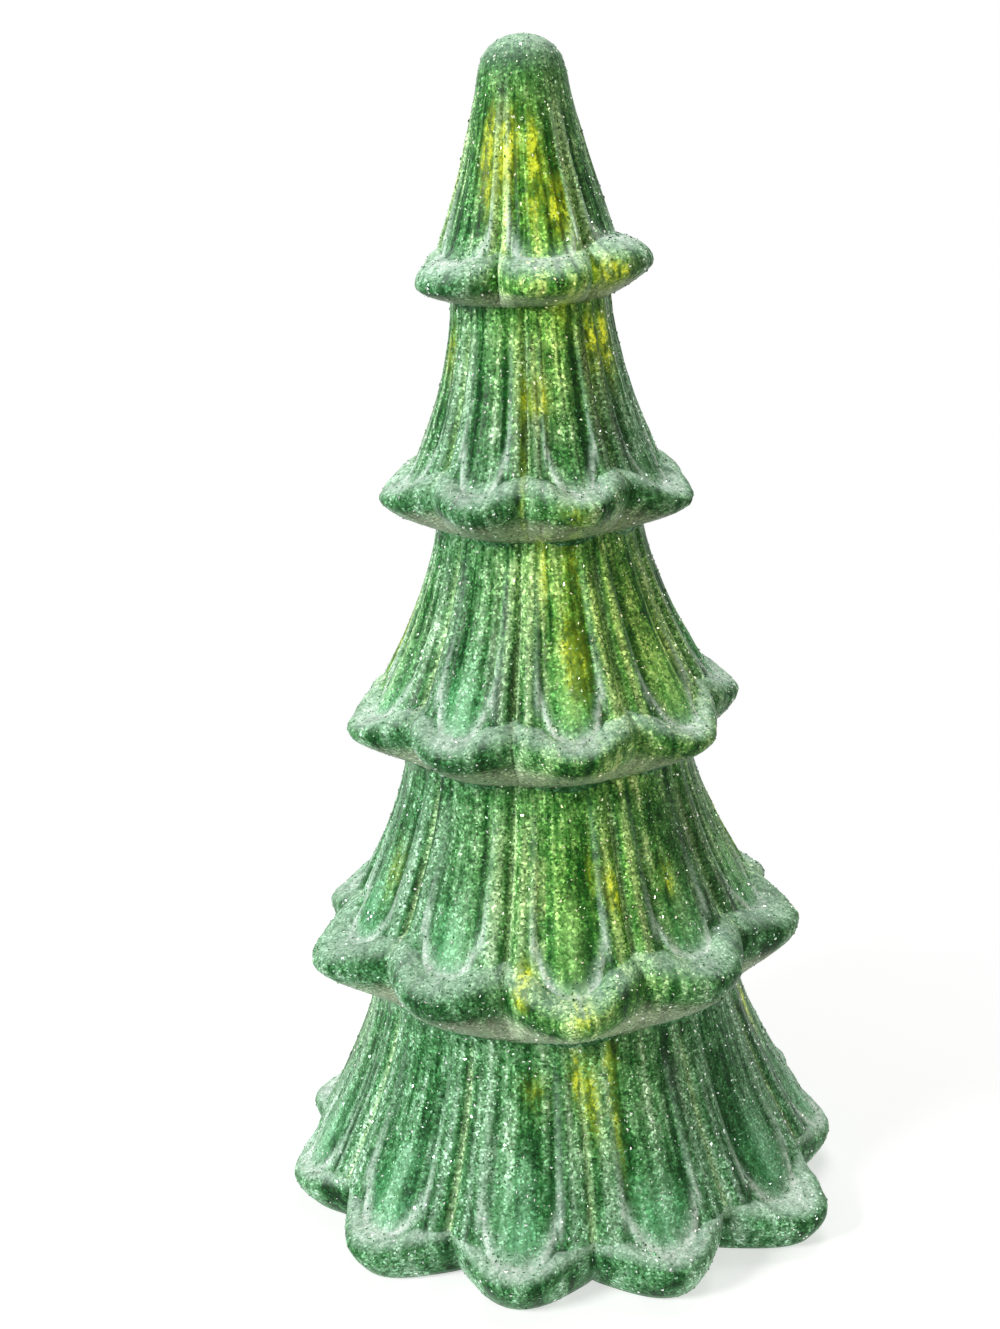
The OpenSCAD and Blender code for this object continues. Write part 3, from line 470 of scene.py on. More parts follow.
def shine(places, spots):
    """How much light comes through at each place, from a list of spots."""
    total = np.zeros(len(places))
    angle = np.arctan2(places[:, 0], -places[:, 1])
    r = np.hypot(places[:, 0], places[:, 1])
    for turn, height, half_w, half_h, strength in spots:
        off = (angle - math.radians(turn) + math.pi) % (2 * math.pi) - math.pi
        sideways = off * r / (half_w * mm)
        along = (places[:, 2] - height * mm) / (half_h * mm)
        total += strength * np.exp(-sideways ** 2 - along ** 2)
    return np.minimum(total, most_shine)


tip_down = -0.15
index, step = np.array(where).T
places = np.array([vert.co for vert in glass_mesh.vertices])
u, lobe = shape[index, 3:, step].T
v = np.abs(u)
shown = np.array([kind in ("outer", "tip") for kind, _, _ in rings])[index]
down = np.array([s if kind == "outer" else tip_down * (kind == "tip") for kind, _, s in rings])[index]
own = [tier or tiers[-1] for _, tier, _ in rings]
facts = [(tier.lobes, tiers.index(tier), tier.lip, tier.high - tier.low, tier.tongue) for tier in own]
lobes, number, lip, length, edge = np.array(facts).T[:, index]
from_axis = np.hypot(places[:, 0], places[:, 1])
half_lobe = math.pi * from_axis / lobes
on_skirt = eased(0.05, 0.4, down) * (1 - eased(1.2, 1.7, down))
low_tier = number < 3
# A low rim runs round the end of each tongue and up its two sides, and frost gathers on it
rim_rise = 7 * mm
rim_height = 0.7 * mm
rim_fade = 2.6 * mm
rim_width = np.where(low_tier, 1.2, 0.8) * mm
ledge_place = np.where(number < 4, 1.5, 4.0) * mm
ledge_width = np.where(number < 4, 2.8, 3.6) * mm
tongue_depth = 0.5 * mm
aside = (v - edge) * half_lobe
inward = np.minimum(1.0, v / edge)
below = (down - 1) * np.where(down > 1, 1.3 * lip, 0.6 * length) + rim_rise * inward ** 3
tongue = (1 - eased(-1.0 * mm, 0.6 * mm, aside)) * (1 - eased(-1.0 * mm, 0.8 * mm, below))
tongue = tongue * eased(0.2, 0.6, down)
off_side = (np.maximum(aside, 0) - 0.8 * rim_width) / rim_width
off_end = np.maximum(below - ledge_place, 0) / rim_fade
off_ledge = (below - ledge_place) / ledge_width
rim = np.where(aside < 0, np.exp(-off_ledge ** 2), np.exp(-off_side ** 2 - off_end ** 2))
rim = rim * (0.25 * eased(0.05, 0.3, down) + 0.75 * eased(0.5, 0.95, down)) * shown
lifted = (rim * rim_height - tongue * tongue_depth)[:, None]
places[:, :2] += lifted * places[:, :2] / from_axis[:, None].clip(1 * mm)
glass_mesh.vertices.foreach_set("co", places.ravel())

# Marks on the surface that the finish and the glitter read: some are the glass's own frost and tone, and
# some are painted light and shade
flakes_per_m2 = 330000
crease_width = 0.9 * mm
crest_width = 1.0 * mm
groove_place = 1.3 * mm
groove_width = 1.1 * mm
painted_gleam_place = 0.04
painted_gleam_width = 0.13
tip_frost = 0.6
streak_gap = 20
lip_frost = np.where(number == 1, 0.7, 0.85)
lip_frost = lip_frost * eased(0.95, 1.2, down) * (1 - eased(1.45, 1.95, down)) * (1 - 0.35 * v)
# The creases: thin silvering there, and painted light that lifts the shade of the valley
crease_silvering_and_light = np.exp(-((1 - v) * half_lobe / crease_width) ** 2)
# Frost on the crests of the rolls, and a painted highlight along them
crest_frost_and_highlight = np.exp(-((v - (1 + edge) / 2) * half_lobe / crest_width) ** 2)
# Painted shade: a dark band along the groove just inside each tongue's edge
painted_groove_shade = np.exp(-((aside + groove_place) / groove_width) ** 2)
painted_gleam_band = np.exp(-((u - painted_gleam_place) / painted_gleam_width) ** 2)
on_tip = eased(shoulder, shoulder + tip_height, places[:, 2])
marks = {
    "frost": np.maximum(rim, lip_frost) + tip_frost * on_tip,
    "crease": crease_silvering_and_light * (1 - eased(1.2, 2.0, down)) * eased(0, 0.3, down),
    "crest": crest_frost_and_highlight * on_skirt,
    "groove": painted_groove_shade * on_skirt * (1 - eased(0.8, 1.0, down)),
    "pool_and_highlight": tongue * eased(0.45, 0.95, down) * (1 - inward ** 2) * low_tier,
    "painted_gleam": painted_gleam_band * eased(0.45, 0.75, down) * (1 - eased(0.88, 1.0, down)) * low_tier,
    "smooth": (number == 4) * (1 - eased(0.0, 0.4, down)),
    "under": eased(2.25, 2.6, down) * (number > 0),
    "painted_glow": shine(places, painted_glow_spots),
    "painted_warmth": shine(places, painted_warm_regions),
    "down": down,
    "across": lobe + u / 2 + streak_gap * number,
    "dust": flakes_per_m2 * (0.7 + 0.8 * rim) * (1 - 0.5 * eased(2.3, 2.6, down)),
}
for name, column in marks.items():
    column = np.where(shown, column, 0.0)
    glass_mesh.attributes.new(name, "FLOAT", "POINT").data.foreach_set("value", column)


def surface_value(tree, name):
    return add(tree, "Attribute", attribute_name=name).outputs["Fac"]


def ramp(tree, value, stops):
    """A colour that follows a value through stops of a position and a colour."""
    node = add(tree, "ValToRGB", {"Fac": value})
    elements = node.color_ramp.elements
    elements[0].position, elements[0].color = stops[0][0], (*stops[0][1], 1)
    elements[1].position, elements[1].color = stops[-1][0], (*stops[-1][1], 1)
    for position, color in stops[1:-1]:
        elements.new(position).color = (*color, 1)
    return node.outputs["Color"]


def blend(tree, share, a, b, how="MIX"):
    """Mixes two colours, each a socket or three numbers."""
    first, second = [c if isinstance(c, bpy.types.NodeSocket) else (*c, 1) for c in (a, b)]
    node = add(tree, "Mix", {0: share, 6: first, 7: second}, data_type="RGBA", blend_type=how)
    return node.outputs[2]


def scaled(tree, value, factor):
    return math_of(tree, "MULTIPLY", value, factor)


def stretched(tree, vector, amounts):
    return add(tree, "VectorMath", {0: vector, 1: amounts}, operation="MULTIPLY").outputs[0]


def fractal(tree, vector, scale, detail, roughness=0.5, distortion=0.0):
    """Cloudy noise about 0.5."""
    return add(tree, "TexNoise", {"Vector": vector, "Scale": scale, "Detail": detail,
                                  "Roughness": roughness, "Distortion": distortion}).outputs["Fac"]


glass_finish, tree, skin = new_finish("frosted_green_glass")
here = own_place(tree)
frost, crease, crest, groove, pool_and_highlight, painted_gleam = [
    surface_value(tree, name) for name in ("frost", "crease", "crest", "groove", "pool_and_highlight", "painted_gleam")]
smooth, under, painted_glow, painted_warmth, across, down = [
    surface_value(tree, name) for name in ("smooth", "under", "painted_glow", "painted_warmth", "across", "down")]
flutes = add(tree, "CombineXYZ", {"X": across, "Y": down}).outputs[0]
streaks = fractal(tree, stretched(tree, flutes, (8.0, 0.6, 1.0)), scale=1.0, detail=2.5, roughness=0.55)
cloud = fractal(tree, here, scale=70.0, detail=4.0, roughness=0.7)
mottle = fractal(tree, stretched(tree, here, (1, 1, 0.45)), scale=430.0, detail=2.0, roughness=0.6)
grain = add(tree, "TexVoronoi", {"Vector": here, "Scale": 1500.0})
grain_parts = add(tree, "SeparateColor", {"Color": grain.outputs["Color"]}).outputs
# Silvering: deep and pale greens in streaks down the flutes, mottled all over
streak_share = math_of(tree, "MULTIPLY_ADD", smooth, -0.35, 0.62)
patches = math_of(tree, "MULTIPLY_ADD", cloud, 0.30, scaled(tree, mottle, 0.25))
silvering = math_of(tree, "MULTIPLY_ADD", math_of(tree, "SUBTRACT", streaks, 0.5), streak_share, patches)
silvering = math_of(tree, "MULTIPLY_ADD", smooth, -0.03, silvering)
green = ramp(tree, silvering, [(0.15, (0.002, 0.042, 0.006)), (0.22, (0.028, 0.145, 0.038)),
                               (0.28, (0.090, 0.290, 0.110)), (0.34, (0.220, 0.480, 0.260)),
                               (0.41, (0.460, 0.760, 0.520))])
# Painted shade: the grooves are darkened towards deep green
green = blend(tree, scaled(tree, groove, 0.7), green, (0.006, 0.060, 0.012))
# Paler crests: frost on the raised rolls and a painted highlight along them
green = blend(tree, scaled(tree, crest, 0.5), green, (0.42, 0.68, 0.48))
# The middle of each low tongue: clearer emerald glass, painted brighter as a soft highlight
pool_highlight_share = scaled(tree, pool_and_highlight, between(tree, cloud, 0.35, 0.6, 0.1, 0.75))
green = blend(tree, pool_highlight_share, green, (0.085, 0.42, 0.155))
# Painted highlight: a pale bar down the middle of each low tongue
painted_gleam_share = scaled(tree, painted_gleam, between(tree, cloud, 0.35, 0.55, 0.2, 0.7))
green = blend(tree, painted_gleam_share, green, (0.36, 0.78, 0.46))
# Painted light from inside: the glass is tinted warmer and brighter where the lights would shine through
green = blend(tree, painted_warmth, green, blend(tree, 1.0, green, (2.35, 1.85, 0.78), "MULTIPLY"))
green = blend(tree, scaled(tree, under, 0.7), green, (0.74, 0.84, 0.60))
# Pale creases: thin silvering, and painted light that lifts the valley's shade
green = blend(tree, scaled(tree, crease, 0.6), green, (0.62, 0.92, 0.46))
grains = ramp(tree, grain_parts[0], [(0.0, (0.25, 0.30, 0.24)), (0.4, (0.80, 0.84, 0.78)),
                                     (0.8, (1.18, 1.14, 1.18)), (1.0, (2.9, 2.5, 2.9))])
grained = math_of(tree, "MULTIPLY_ADD", under, -0.5, math_of(tree, "MULTIPLY_ADD", pool_and_highlight, -0.4, 1.0))
green = blend(tree, grained, green, blend(tree, 1.0, green, grains, "MULTIPLY"))
# Where a light shows, the silvering is thin and the glass itself looks dark
green = blend(tree, between(tree, painted_glow, 0.15, 0.8, 0.0, 0.6), green, (0.13, 0.19, 0.010))
# Frost: loose grains where it is thin, and whiter ones where it is thick
frosted = scaled(tree, frost, between(tree, mottle, 0.30, 0.60, 0.65, 1.0))
soft_grains = ramp(tree, grain_parts[0], [(0.0, (0.33, 0.60, 0.40)), (1.0, (0.81, 1.0, 0.86))])
thick_grains = ramp(tree, grain_parts[0], [(0.0, (0.53, 0.76, 0.59)), (1.0, (0.94, 1.0, 0.95))])
frost_color = blend(tree, between(tree, frost, 0.55, 1.0), soft_grains, thick_grains)
green = blend(tree, frosted, green, frost_color)
# Seen edge on, the frost lies closer together and pales the outline, and a painted sheen pales it too
edge_frost_and_sheen = add(tree, "LayerWeight", {"Blend": 0.4}).outputs["Facing"]
green = blend(tree, between(tree, edge_frost_and_sheen, 0.45, 1.0, 0.0, 0.3), green, (0.46, 0.66, 0.50))
# Light from inside, painted on the glass as its own glow: soft bars broken up by the mottling
flecks = scaled(tree, between(tree, streaks, 0.36, 0.52, 0.3, 1.0),
                between(tree, mottle, 0.36, 0.56, 0.1, 1.15))
flecks = scaled(tree, flecks, between(tree, grain_parts[1], 0.0, 1.0, 0.55, 1.2))
light = ramp(tree, scaled(tree, painted_glow, flecks),
             [(0.0, (0, 0, 0)), (0.4, (0.11, 0.145, 0.002)), (1.0, (0.60, 0.60, 0.02))])
relief = math_of(tree, "MULTIPLY_ADD", grain_parts[2], 0.7, cloud)
relief = math_of(tree, "MULTIPLY_ADD", streaks, 2.5, relief)
bump = add(tree, "Bump", {"Height": relief, "Strength": 0.5, "Distance": 0.5 * mm})
feed(tree, skin, {"Base Color": green, "Roughness": 0.45, "Specular IOR Level": 0.09, "Coat Weight": 0.03,
                  "Coat Roughness": 0.12, "Emission Color": light, "Emission Strength": 1.0,
                  "Normal": bump.outputs["Normal"]})
glass_mesh.materials.append(glass_finish)

# The map that a bake uses: once round the shell and once down it, opened along one step
corners = np.zeros(len(glass_mesh.loops), int)
glass_mesh.loops.foreach_get("vertex_index", corners)
first_corner = np.zeros(len(glass_mesh.polygons), int)
glass_mesh.polygons.foreach_get("loop_start", first_corner)
in_face = np.searchsorted(first_corner, np.arange(len(corners)), side="right") - 1
furthest = np.maximum.reduceat(step[corners], first_corner)[in_face]
turned = step[corners] + round_steps * (furthest - step[corners] > round_steps / 2)
at_pole = np.isin(index[corners], (0, len(rings) - 1))
turned = np.where(at_pole, np.minimum(furthest, np.roll(turned, 1)), turned)
middle_line = shape[:, :2].mean(axis=2)
travelled = np.append(0, np.cumsum(np.hypot(*np.diff(middle_line, axis=0).T)))
glass_map = np.stack([turned / round_steps, travelled[index[corners]] / travelled[-1]], axis=1)
glass_mesh.uv_layers.new(name="OFBake").data.foreach_set("uv", glass_map.ravel())
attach(glass, "tree")
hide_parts("glass_tree")


# Glitter: thin flakes stuck to the outside of the glass, each tilted its own way. A scatter lays
# them out, thickest where the frost gathers, and they are then kept as one plain mesh.
flake_corners = 5
flake_small = 0.2 * mm
flake_spread = 0.4 * mm
flake_tilt = 0.8
flake_turn = 6
scatter = bpy.data.node_groups.new("glitter_scatter", "GeometryNodeTree")
scatter.interface.new_socket("Glass", in_out="INPUT", socket_type="NodeSocketGeometry")
scatter.interface.new_socket("Glitter", in_out="OUTPUT", socket_type="NodeSocketGeometry")


def shaping(kind, inputs, **settings):
    return add(scatter, kind, inputs, "GeometryNode", **settings)


def drawn(seed, data_type, spans):
    """A random value for each flake. The spans give its lowest and highest value."""
    return add(scatter, "RandomValue", {**spans, "Seed": seed}, "FunctionNode", data_type=data_type)


glass_in = scatter.nodes.new("NodeGroupInput").outputs[0]
dust = shaping("InputNamedAttribute", {"Name": "dust"}, data_type="FLOAT").outputs[0]
points = shaping("DistributePointsOnFaces", {"Mesh": glass_in, "Density": dust, "Seed": 4}).outputs
chance = drawn(5, "FLOAT", {2: 0.0, 3: 1.0}).outputs[1]
marked = shaping("StoreNamedAttribute",
                 {"Geometry": points["Points"], "Name": "sparkle", "Value": chance})
tilt_spans = {0: (-flake_tilt, -flake_tilt, 0), 1: (flake_tilt, flake_tilt, flake_turn)}
tilt = drawn(6, "FLOAT_VECTOR", tilt_spans).outputs[0]
tilted = add(scatter, "RotateRotation", {"Rotation": points["Rotation"], "Rotate By": tilt},
             "FunctionNode", rotation_space="LOCAL").outputs[0]
size_chance = math_of(scatter, "POWER", drawn(7, "FLOAT", {2: 0.0, 3: 1.0}).outputs[1], 2.0)
size = math_of(scatter, "MULTIPLY_ADD", size_chance, flake_spread, flake_small)
flake = shaping("MeshCircle", {"Vertices": flake_corners, "Radius": 1.0}, fill_type="NGON")
laid = shaping("InstanceOnPoints", {"Points": marked.outputs[0], "Instance": flake.outputs[0],
                                    "Rotation": tilted, "Scale": size})
plain = shaping("RealizeInstances", {"Geometry": laid.outputs[0]})
scatter.links.new(plain.outputs[0], scatter.nodes.new("NodeGroupOutput").inputs[0])
glitter = bpy.data.objects.new("glass_glitter", glass_mesh.copy())
scene.collection.objects.link(glitter)
glitter.modifiers.new("scatter", "NODES").node_group = scatter
scattered = glitter.evaluated_get(bpy.context.evaluated_depsgraph_get())
glitter_mesh = bpy.data.meshes.new_from_object(scattered)
glitter.modifiers.clear()
glitter.data = glitter_mesh
for name in [*marks, "OFBake"]:
    if name != "painted_warmth" and name in glitter_mesh.attributes:
        glitter_mesh.attributes.remove(glitter_mesh.attributes[name])

# Each flake has its own square of the map that a bake uses
flake_room = 0.4
flake_number = len(glitter_mesh.polygons)
squares = math.ceil(math.sqrt(flake_number))
row, column = np.divmod(np.arange(flake_number), squares)
corner = 2 * math.pi * np.arange(flake_corners) / flake_corners
flake_map = np.stack([column[:, None] + 0.5 + flake_room * np.cos(corner),
                      row[:, None] + 0.5 + flake_room * np.sin(corner)], axis=2)
glitter_mesh.uv_layers.new(name="OFBake").data.foreach_set("uv", (flake_map / squares).ravel())
glitter_finish, tree, skin = new_finish("glitter_flakes")
sparkle = surface_value(tree, "sparkle")
tints = ramp(tree, sparkle, [(0.0, (0.008, 0.07, 0.015)), (0.45, (0.05, 0.22, 0.08)),
                             (0.60, (0.28, 0.55, 0.34)), (0.72, (0.75, 0.95, 0.82)),
                             (0.85, (1.0, 1.0, 1.0))])
# The flakes take the same painted warm light from inside
tints = blend(tree, scaled(tree, surface_value(tree, "painted_warmth"), 0.7), tints,
              blend(tree, 1.0, tints, (1.1, 1.05, 0.4), "MULTIPLY"))
feed(tree, skin, {"Base Color": tints, "Roughness": between(tree, sparkle, 0.3, 1.0, 0.5, 0.2),
                  "Metallic": 0.6})
glitter_mesh.materials.clear()
glitter_mesh.materials.append(glitter_finish)
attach(glitter, "tree")


# Seal ring: a flat ring of clear silicone that beds the glass on the base's flange.
# Its soft, slightly dusty finish is shared with the feet, the washer, the grommet and the leads.
def finish_group(name, inputs):
    """A shared finish: an empty node group that puts out a colour, a roughness and a relief."""
    group = bpy.data.node_groups.new(name, "ShaderNodeTree")
    for socket, kind in inputs.items():
        group.interface.new_socket(socket, in_out="INPUT", socket_type=kind)
    for socket, kind in (("Color", "NodeSocketColor"), ("Roughness", "NodeSocketFloat"),
                         ("Height", "NodeSocketFloat")):
        group.interface.new_socket(socket, in_out="OUTPUT", socket_type=kind)
    return group, group.nodes.new("NodeGroupInput").outputs, group.nodes.new("NodeGroupOutput")


def finished(name, group, values, **constants):
    """A material whose colour, roughness and relief come from a shared finish."""
    made, tree, skin = new_finish(name)
    effect = add(tree, "Group", values, node_tree=group).outputs
    bump = add(tree, "Bump", {"Height": effect["Height"], "Strength": 0.35, "Distance": 0.2 * mm})
    feed(tree, skin, {"Base Color": effect["Color"], "Roughness": effect["Roughness"],
                      "Normal": bump.outputs["Normal"]})
    feed(tree, skin, {socket.replace("_", " "): value for socket, value in constants.items()})
    return made


def dress(material, *nodes):
    """Gives a finish to pieces that keep their CAD shape."""
    for node in nodes:
        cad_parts[node].material_slots[0].material = material


soft_rubber, given, result = finish_group("soft_rubber", {"Color": "NodeSocketColor",
                                                          "Dust": "NodeSocketFloat"})
here = own_place(soft_rubber)
pores = fractal(soft_rubber, here, scale=1800.0, detail=3.0)
film = fractal(soft_rubber, here, scale=140.0, detail=4.0, roughness=0.65)
deep = blend(soft_rubber, 1.0, given["Color"], (0.72, 0.72, 0.74), "MULTIPLY")
tone = blend(soft_rubber, between(soft_rubber, pores, 0.35, 0.65), deep, given["Color"])
dusted = scaled(soft_rubber, given["Dust"], between(soft_rubber, film, 0.45, 0.72))
feed(soft_rubber, result, {"Color": blend(soft_rubber, dusted, tone, (0.62, 0.60, 0.57)),
                           "Roughness": between(soft_rubber, film, 0.3, 0.7, 0.55, 0.82),
                           "Height": pores})
silicone = finished("clear_silicone", soft_rubber, {"Color": (0.76, 0.79, 0.76, 1), "Dust": 0.12},
                    Transmission_Weight=0.35)
dress(silicone, "seal_ring")


# Base cup: one injection-moulded cup of pale grey plastic with a flange that the glass stands on.
# Its edges are rounded as the mould leaves them, and its satin finish is shared with the other
# mouldings.
def rounded(name, node, width, material, body):
    """A piece made from a CAD solid: its triangles joined into faces and its sharp edges rounded."""
    flat = math.radians(0.5)
    sharp = math.radians(40)
    form = bmesh.new()
    form.from_mesh(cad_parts[node].data)
    bmesh.ops.remove_doubles(form, verts=form.verts[:], dist=1e-6)
    bmesh.ops.dissolve_limit(form, angle_limit=flat, verts=form.verts[:], edges=form.edges[:])
    corners = [edge for edge in form.edges if edge.is_manifold and edge.calc_face_angle() > sharp]
    bmesh.ops.bevel(form, geom=corners, offset=width, offset_type="OFFSET", segments=2, profile=0.5,
                    affect="EDGES", clamp_overlap=True, material=-1)
    bmesh.ops.triangulate(form, faces=[face for face in form.faces if len(face.verts) > 4])
    for face in form.faces:
        face.smooth = True
    for edge in form.edges:
        edge.smooth = not (edge.is_manifold and edge.calc_face_angle() > sharp)
    mesh = bpy.data.meshes.new(name)
    form.to_mesh(mesh)
    form.free()
    mesh.materials.append(material)
    piece = bpy.data.objects.new(name, mesh)
    scene.collection.objects.link(piece)
    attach(piece, body)
    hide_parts(node)
    return piece


moulded, given, result = finish_group("moulded_plastic", {"Color": "NodeSocketColor"})
here = own_place(moulded)
etched = fractal(moulded, here, scale=2400.0, detail=2.0)
flow = fractal(moulded, here, scale=38.0, detail=3.0, distortion=0.6)
scuffs = fractal(moulded, stretched(moulded, here, (1, 9, 3)), scale=160.0, detail=5.0, roughness=0.75)
shaded = blend(moulded, 1.0, given["Color"], (0.90, 0.90, 0.92), "MULTIPLY")
tone = blend(moulded, between(moulded, flow, 0.35, 0.65), shaded, given["Color"])
worn = scaled(moulded, between(moulded, scuffs, 0.60, 0.72), 0.25)
feed(moulded, result, {"Color": blend(moulded, worn, tone, (0.55, 0.55, 0.54)),
                       "Roughness": between(moulded, etched, 0.3, 0.7, 0.40, 0.56), "Height": etched})
base_plastic = finished("pale_grey_plastic", moulded, {"Color": (0.57, 0.58, 0.57, 1)},
                        Specular_IOR_Level=0.3)
rounded("base_cup_moulding", "base_cup", 0.35 * mm, base_plastic, "tree")


# Rubber feet: four moulded buttons pressed into the flange, with a rounded edge and a dished sole.
# They are black rubber in the same soft finish as the seal ring. The sole gives radius and height in mm.
foot_radius = 4.5 * mm
foot_circle = 59.75 * mm
foot_turns = 48
flat_top = 0.9
sole = [(0.0, 0.25), (2.2, 0.25), (2.5, 0.05), (3.6, 0.0), (4.15, 0.12), (4.42, 0.42), (4.5, 0.8),
        (4.5, 2.4), (0.0, 2.4)]
feet_form = bmesh.new()
for quarter in range(4):
    profile = [feet_form.verts.new((r * mm, 0, z * mm)) for r, z in sole]
    line = [feet_form.edges.new(pair) for pair in zip(profile, profile[1:])]
    bmesh.ops.spin(feet_form, geom=profile + line, axis=(0, 0, 1), cent=(0, 0, 0), angle=2 * math.pi,
                   steps=foot_turns, use_merge=True)
    fresh = [vert for vert in feet_form.verts if vert.co.xy.length < 2 * foot_radius]
    bmesh.ops.remove_doubles(feet_form, verts=fresh, dist=1e-6)
    fresh = [vert for vert in feet_form.verts if vert.co.xy.length < 2 * foot_radius]
    turn = math.radians(45 + 90 * quarter)
    foot_place = (foot_circle * math.cos(turn), foot_circle * math.sin(turn), 0)
    bmesh.ops.translate(feet_form, verts=fresh, vec=foot_place)
bmesh.ops.recalc_face_normals(feet_form, faces=feet_form.faces[:])
for face in feet_form.faces:
    face.smooth = face.normal.z < flat_top
feet_mesh = bpy.data.meshes.new("rubber_feet_moulded")
feet_form.to_mesh(feet_mesh)
feet_form.free()
black_rubber = finished("black_rubber", soft_rubber, {"Color": (0.035, 0.035, 0.036, 1), "Dust": 0.3})
feet_mesh.materials.append(black_rubber)
feet = bpy.data.objects.new("rubber_feet_moulded", feet_mesh)
scene.collection.objects.link(feet)
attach(feet, "tree")
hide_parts("rubber_feet")


# Base cover and its screws: a plastic lid over the cup with a socket for the stem, held down by four
# zinc-plated screws. The plated finish is shared with every other screw, contact and can.
plated, given, result = finish_group("plated_metal", {"Color": "NodeSocketColor",
                                                      "Tarnish": "NodeSocketColor"})
here = own_place(plated)
turned_marks = fractal(plated, stretched(plated, here, (1, 1, 12)), scale=700.0, detail=3.0)
stains = fractal(plated, here, scale=260.0, detail=4.0, roughness=0.7)
stained = blend(plated, between(plated, stains, 0.5, 0.8, 0.0, 0.6), given["Color"], given["Tarnish"])
feed(plated, result, {"Color": stained, "Height": turned_marks,
                      "Roughness": between(plated, turned_marks, 0.3, 0.7, 0.22, 0.42)})
zinc = finished("zinc_plate", plated, {"Color": (0.56, 0.56, 0.58, 1), "Tarnish": (0.40, 0.37, 0.30, 1)},
                Metallic=1.0)
dress(base_plastic, "base_cover")
dress(zinc, "cover_screws", "switch_screws", "board_screws")


# Battery door: a moulded flap on two hinge pins, with a tab that a captive screw holds shut.
# The screw carries a rubber washer that keeps it in the tab when the door is open, and the tab stands
# a hair clear of the washer.
door = rounded("battery_door_moulding", "battery_door", 0.4 * mm, base_plastic, "battery_door")
washer_room = 0.05 * mm
washer_foot = min(vert.co.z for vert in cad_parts["screw_washer"].data.vertices)
for vert in door.data.vertices:
    if abs(vert.co.z - washer_foot) < washer_room:
        vert.co.z -= washer_room
rounded("door_screw_turned", "door_screw", 0.15 * mm, zinc, "door_screw")
dress(black_rubber, "screw_washer", "wire_grommet")


# Cells and contacts: three plain AA cells in film jackets, each with a gold band at the plus end,
# between nickel-plated springs and plates. The middle cell lies the other way round, and each cell
# sits a little towards its plus end, away from its spring.
cell_length = 50.5 * mm
cell_shift = 3.5 * mm
bare_steel = (0.56, 0.55, 0.53)
dark_green = (0.020, 0.075, 0.045)
gold = (0.52, 0.36, 0.13)


def cell_jacket(name, plus):
    """Bands along a cell whose plus end points along X (1) or against it (-1)."""
    made, tree, skin = new_finish(name)
    here = own_place(tree)
    x = add(tree, "SeparateXYZ", {0: here}).outputs["X"]
    along = math_of(tree, "MULTIPLY_ADD", x, plus / cell_length, 0.5 - cell_shift / cell_length)
    bands = ramp(tree, along, [(0.0, bare_steel), (0.02, dark_green), (0.70, gold), (0.955, bare_steel),
                               (0.985, bare_steel)])
    bands.node.color_ramp.interpolation = "CONSTANT"
    creases = fractal(tree, stretched(tree, here, (1, 4, 4)), scale=120.0, detail=4.0)
    creased = blend(tree, between(tree, creases, 0.4, 0.75, 0.0, 0.35), bands,
                    blend(tree, 1.0, bands, (0.6, 0.6, 0.6), "MULTIPLY"))
    feed(tree, skin, {"Base Color": creased, "Roughness": between(tree, creases, 0.3, 0.7, 0.22, 0.38),
                      "Metallic": 0.6})
    return made


nickel = finished("nickel_plate", plated,
                  {"Color": (0.66, 0.65, 0.61, 1), "Tarnish": (0.50, 0.45, 0.36, 1)}, Metallic=1.0)
dress(cell_jacket("cell_jacket_right", 1), "battery_front", "battery_back")
dress(cell_jacket("cell_jacket_left", -1), "battery_middle")
dress(nickel, "spring_front", "spring_middle", "spring_back", "plate_plus", "plate_minus",
      "plate_bridge_left", "plate_bridge_right")


# Switch: a black slide switch screwed down on the cup's floor, with a ridged knob that shows in a slot
# underneath and slides either way from its middle place. The timer's chip is the same black.
black_plastic = finished("black_plastic", moulded, {"Color": (0.022, 0.022, 0.023, 1)},
                         Specular_IOR_Level=0.3)
rounded("switch_knob_moulding", "switch_knob", 0.15 * mm, black_plastic, "switch_knob")
dress(black_plastic, "switch_body", "timer_chip")


# Timer board: a small green board with printed tracks, screwed to posts above the cells, and the
# crystal in its can and the sleeved capacitor that stand on it.
board_finish, tree, skin = new_finish("solder_mask")
here = own_place(tree)
tracks = add(tree, "TexBrick", {"Vector": here, "Color1": (0.012, 0.11, 0.05, 1),
                                "Color2": (0.010, 0.085, 0.04, 1), "Mortar": (0.05, 0.23, 0.10, 1),
                                "Scale": 260.0, "Mortar Size": 0.05}).outputs
speckle = fractal(tree, here, scale=900.0, detail=3.0)
masked = blend(tree, between(tree, speckle, 0.4, 0.7, 0.0, 0.3), tracks["Color"], (0.02, 0.15, 0.07))
raised = add(tree, "Bump", {"Height": tracks["Fac"], "Strength": 0.3, "Distance": 0.1 * mm})
feed(tree, skin, {"Base Color": masked, "Roughness": between(tree, speckle, 0.3, 0.7, 0.25, 0.4),
                  "Normal": raised.outputs["Normal"]})
can = finished("crystal_can", plated, {"Color": (0.60, 0.60, 0.60, 1), "Tarnish": (0.48, 0.48, 0.47, 1)},
               Metallic=1.0)
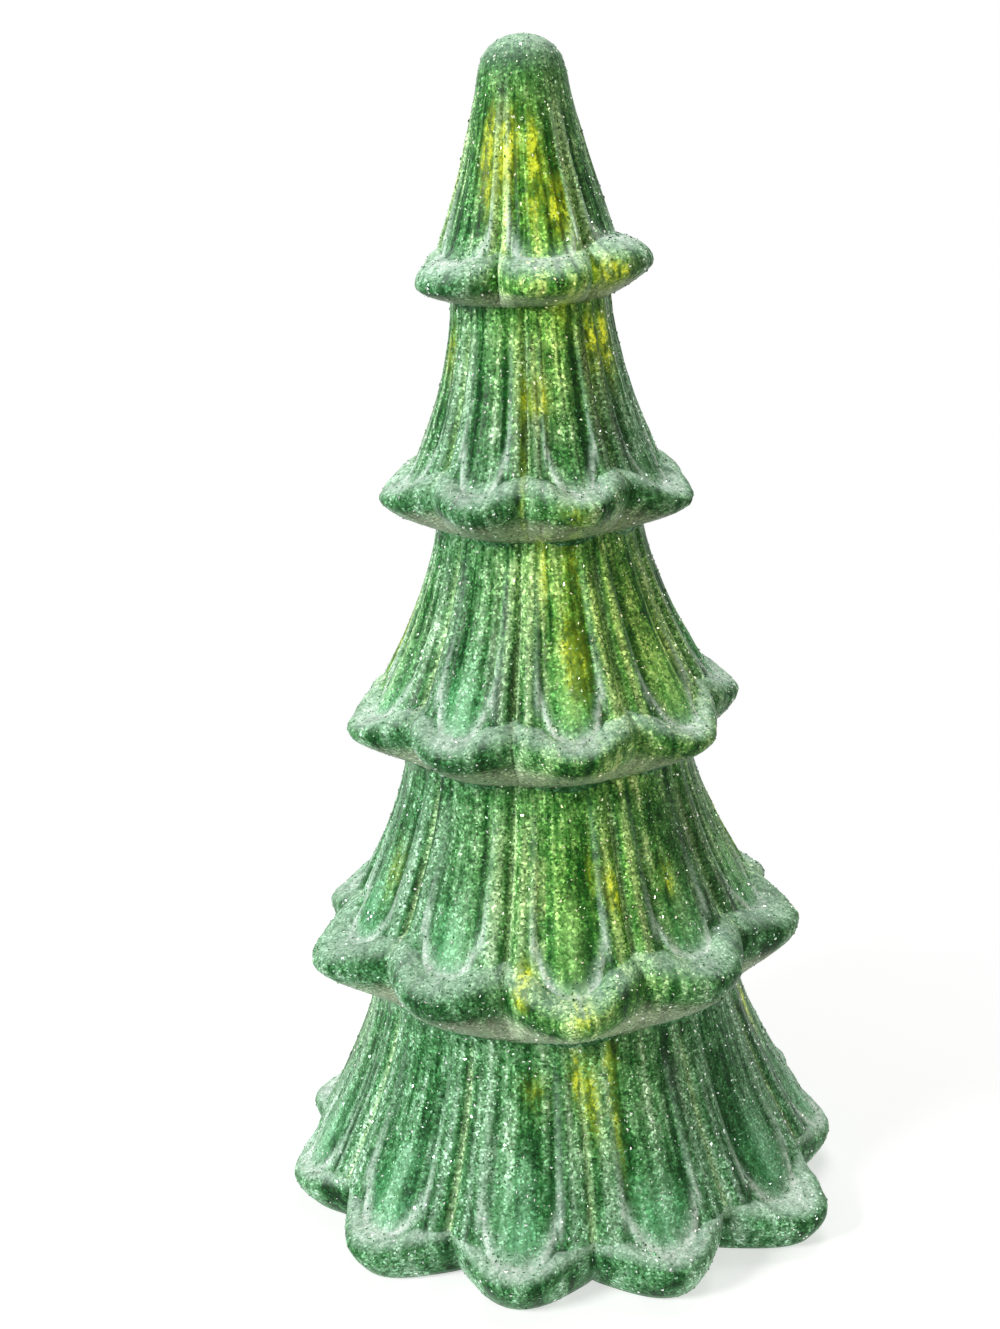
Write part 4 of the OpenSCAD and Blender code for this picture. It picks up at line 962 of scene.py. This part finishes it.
sleeve = finished("capacitor_sleeve", moulded, {"Color": (0.02, 0.035, 0.13, 1)}, Coat_Weight=0.4)
dress(board_finish, "timer_board")
dress(can, "timer_crystal")
dress(sleeve, "timer_capacitor")


# Leads: soft insulated wires inside the base. Red runs from the plus contact to the switch, black from
# the minus contact to the board, and yellow from the switch to the board.
for name, node, color in (("red_insulation", "lead_red", (0.42, 0.012, 0.010, 1)),
                          ("black_insulation", "lead_black", (0.012, 0.012, 0.012, 1)),
                          ("yellow_insulation", "lead_switch", (0.55, 0.36, 0.012, 1))):
    dress(finished(name, soft_rubber, {"Color": color, "Dust": 0.05}), node)


# Light string: a clear moulded stem and cap in the tree's axis, enamelled copper wire wound up round
# them, and twelve small lights in drops of clear resin on the wire.
light_count = 12
clear_finish, tree, skin = new_finish("clear_moulding")
flow = fractal(tree, stretched(tree, own_place(tree), (1, 1, 0.1)), scale=300.0, detail=3.0)
feed(tree, skin, {"Base Color": ramp(tree, flow, [(0.3, (0.80, 0.86, 0.83)), (0.7, (0.92, 0.95, 0.93))]),
                  "Roughness": between(tree, flow, 0.3, 0.7, 0.08, 0.22),
                  "Transmission Weight": 0.85, "IOR": 1.49})
copper = finished("enamelled_copper", plated,
                  {"Color": (0.60, 0.28, 0.12, 1), "Tarnish": (0.36, 0.15, 0.07, 1)}, Metallic=0.9)
lamp_finish, tree, skin = new_finish("lit_resin")
swirl = fractal(tree, own_place(tree), scale=700.0, detail=2.0)
resin = ramp(tree, swirl, [(0.3, (1.0, 0.80, 0.40)), (0.7, (1.0, 0.92, 0.62))])
lamplight = ramp(tree, swirl, [(0.3, (1.0, 0.62, 0.14)), (0.7, (1.0, 0.84, 0.42))])
feed(tree, skin, {"Base Color": resin, "Roughness": between(tree, swirl, 0.3, 0.7, 0.15, 0.3),
                  "Emission Color": lamplight, "Emission Strength": 1.0})
dress(clear_finish, "light_stem", "stem_cap")
dress(copper, "light_wire")
dress(lamp_finish, *[f"led_{number:02d}" for number in range(1, light_count + 1)])
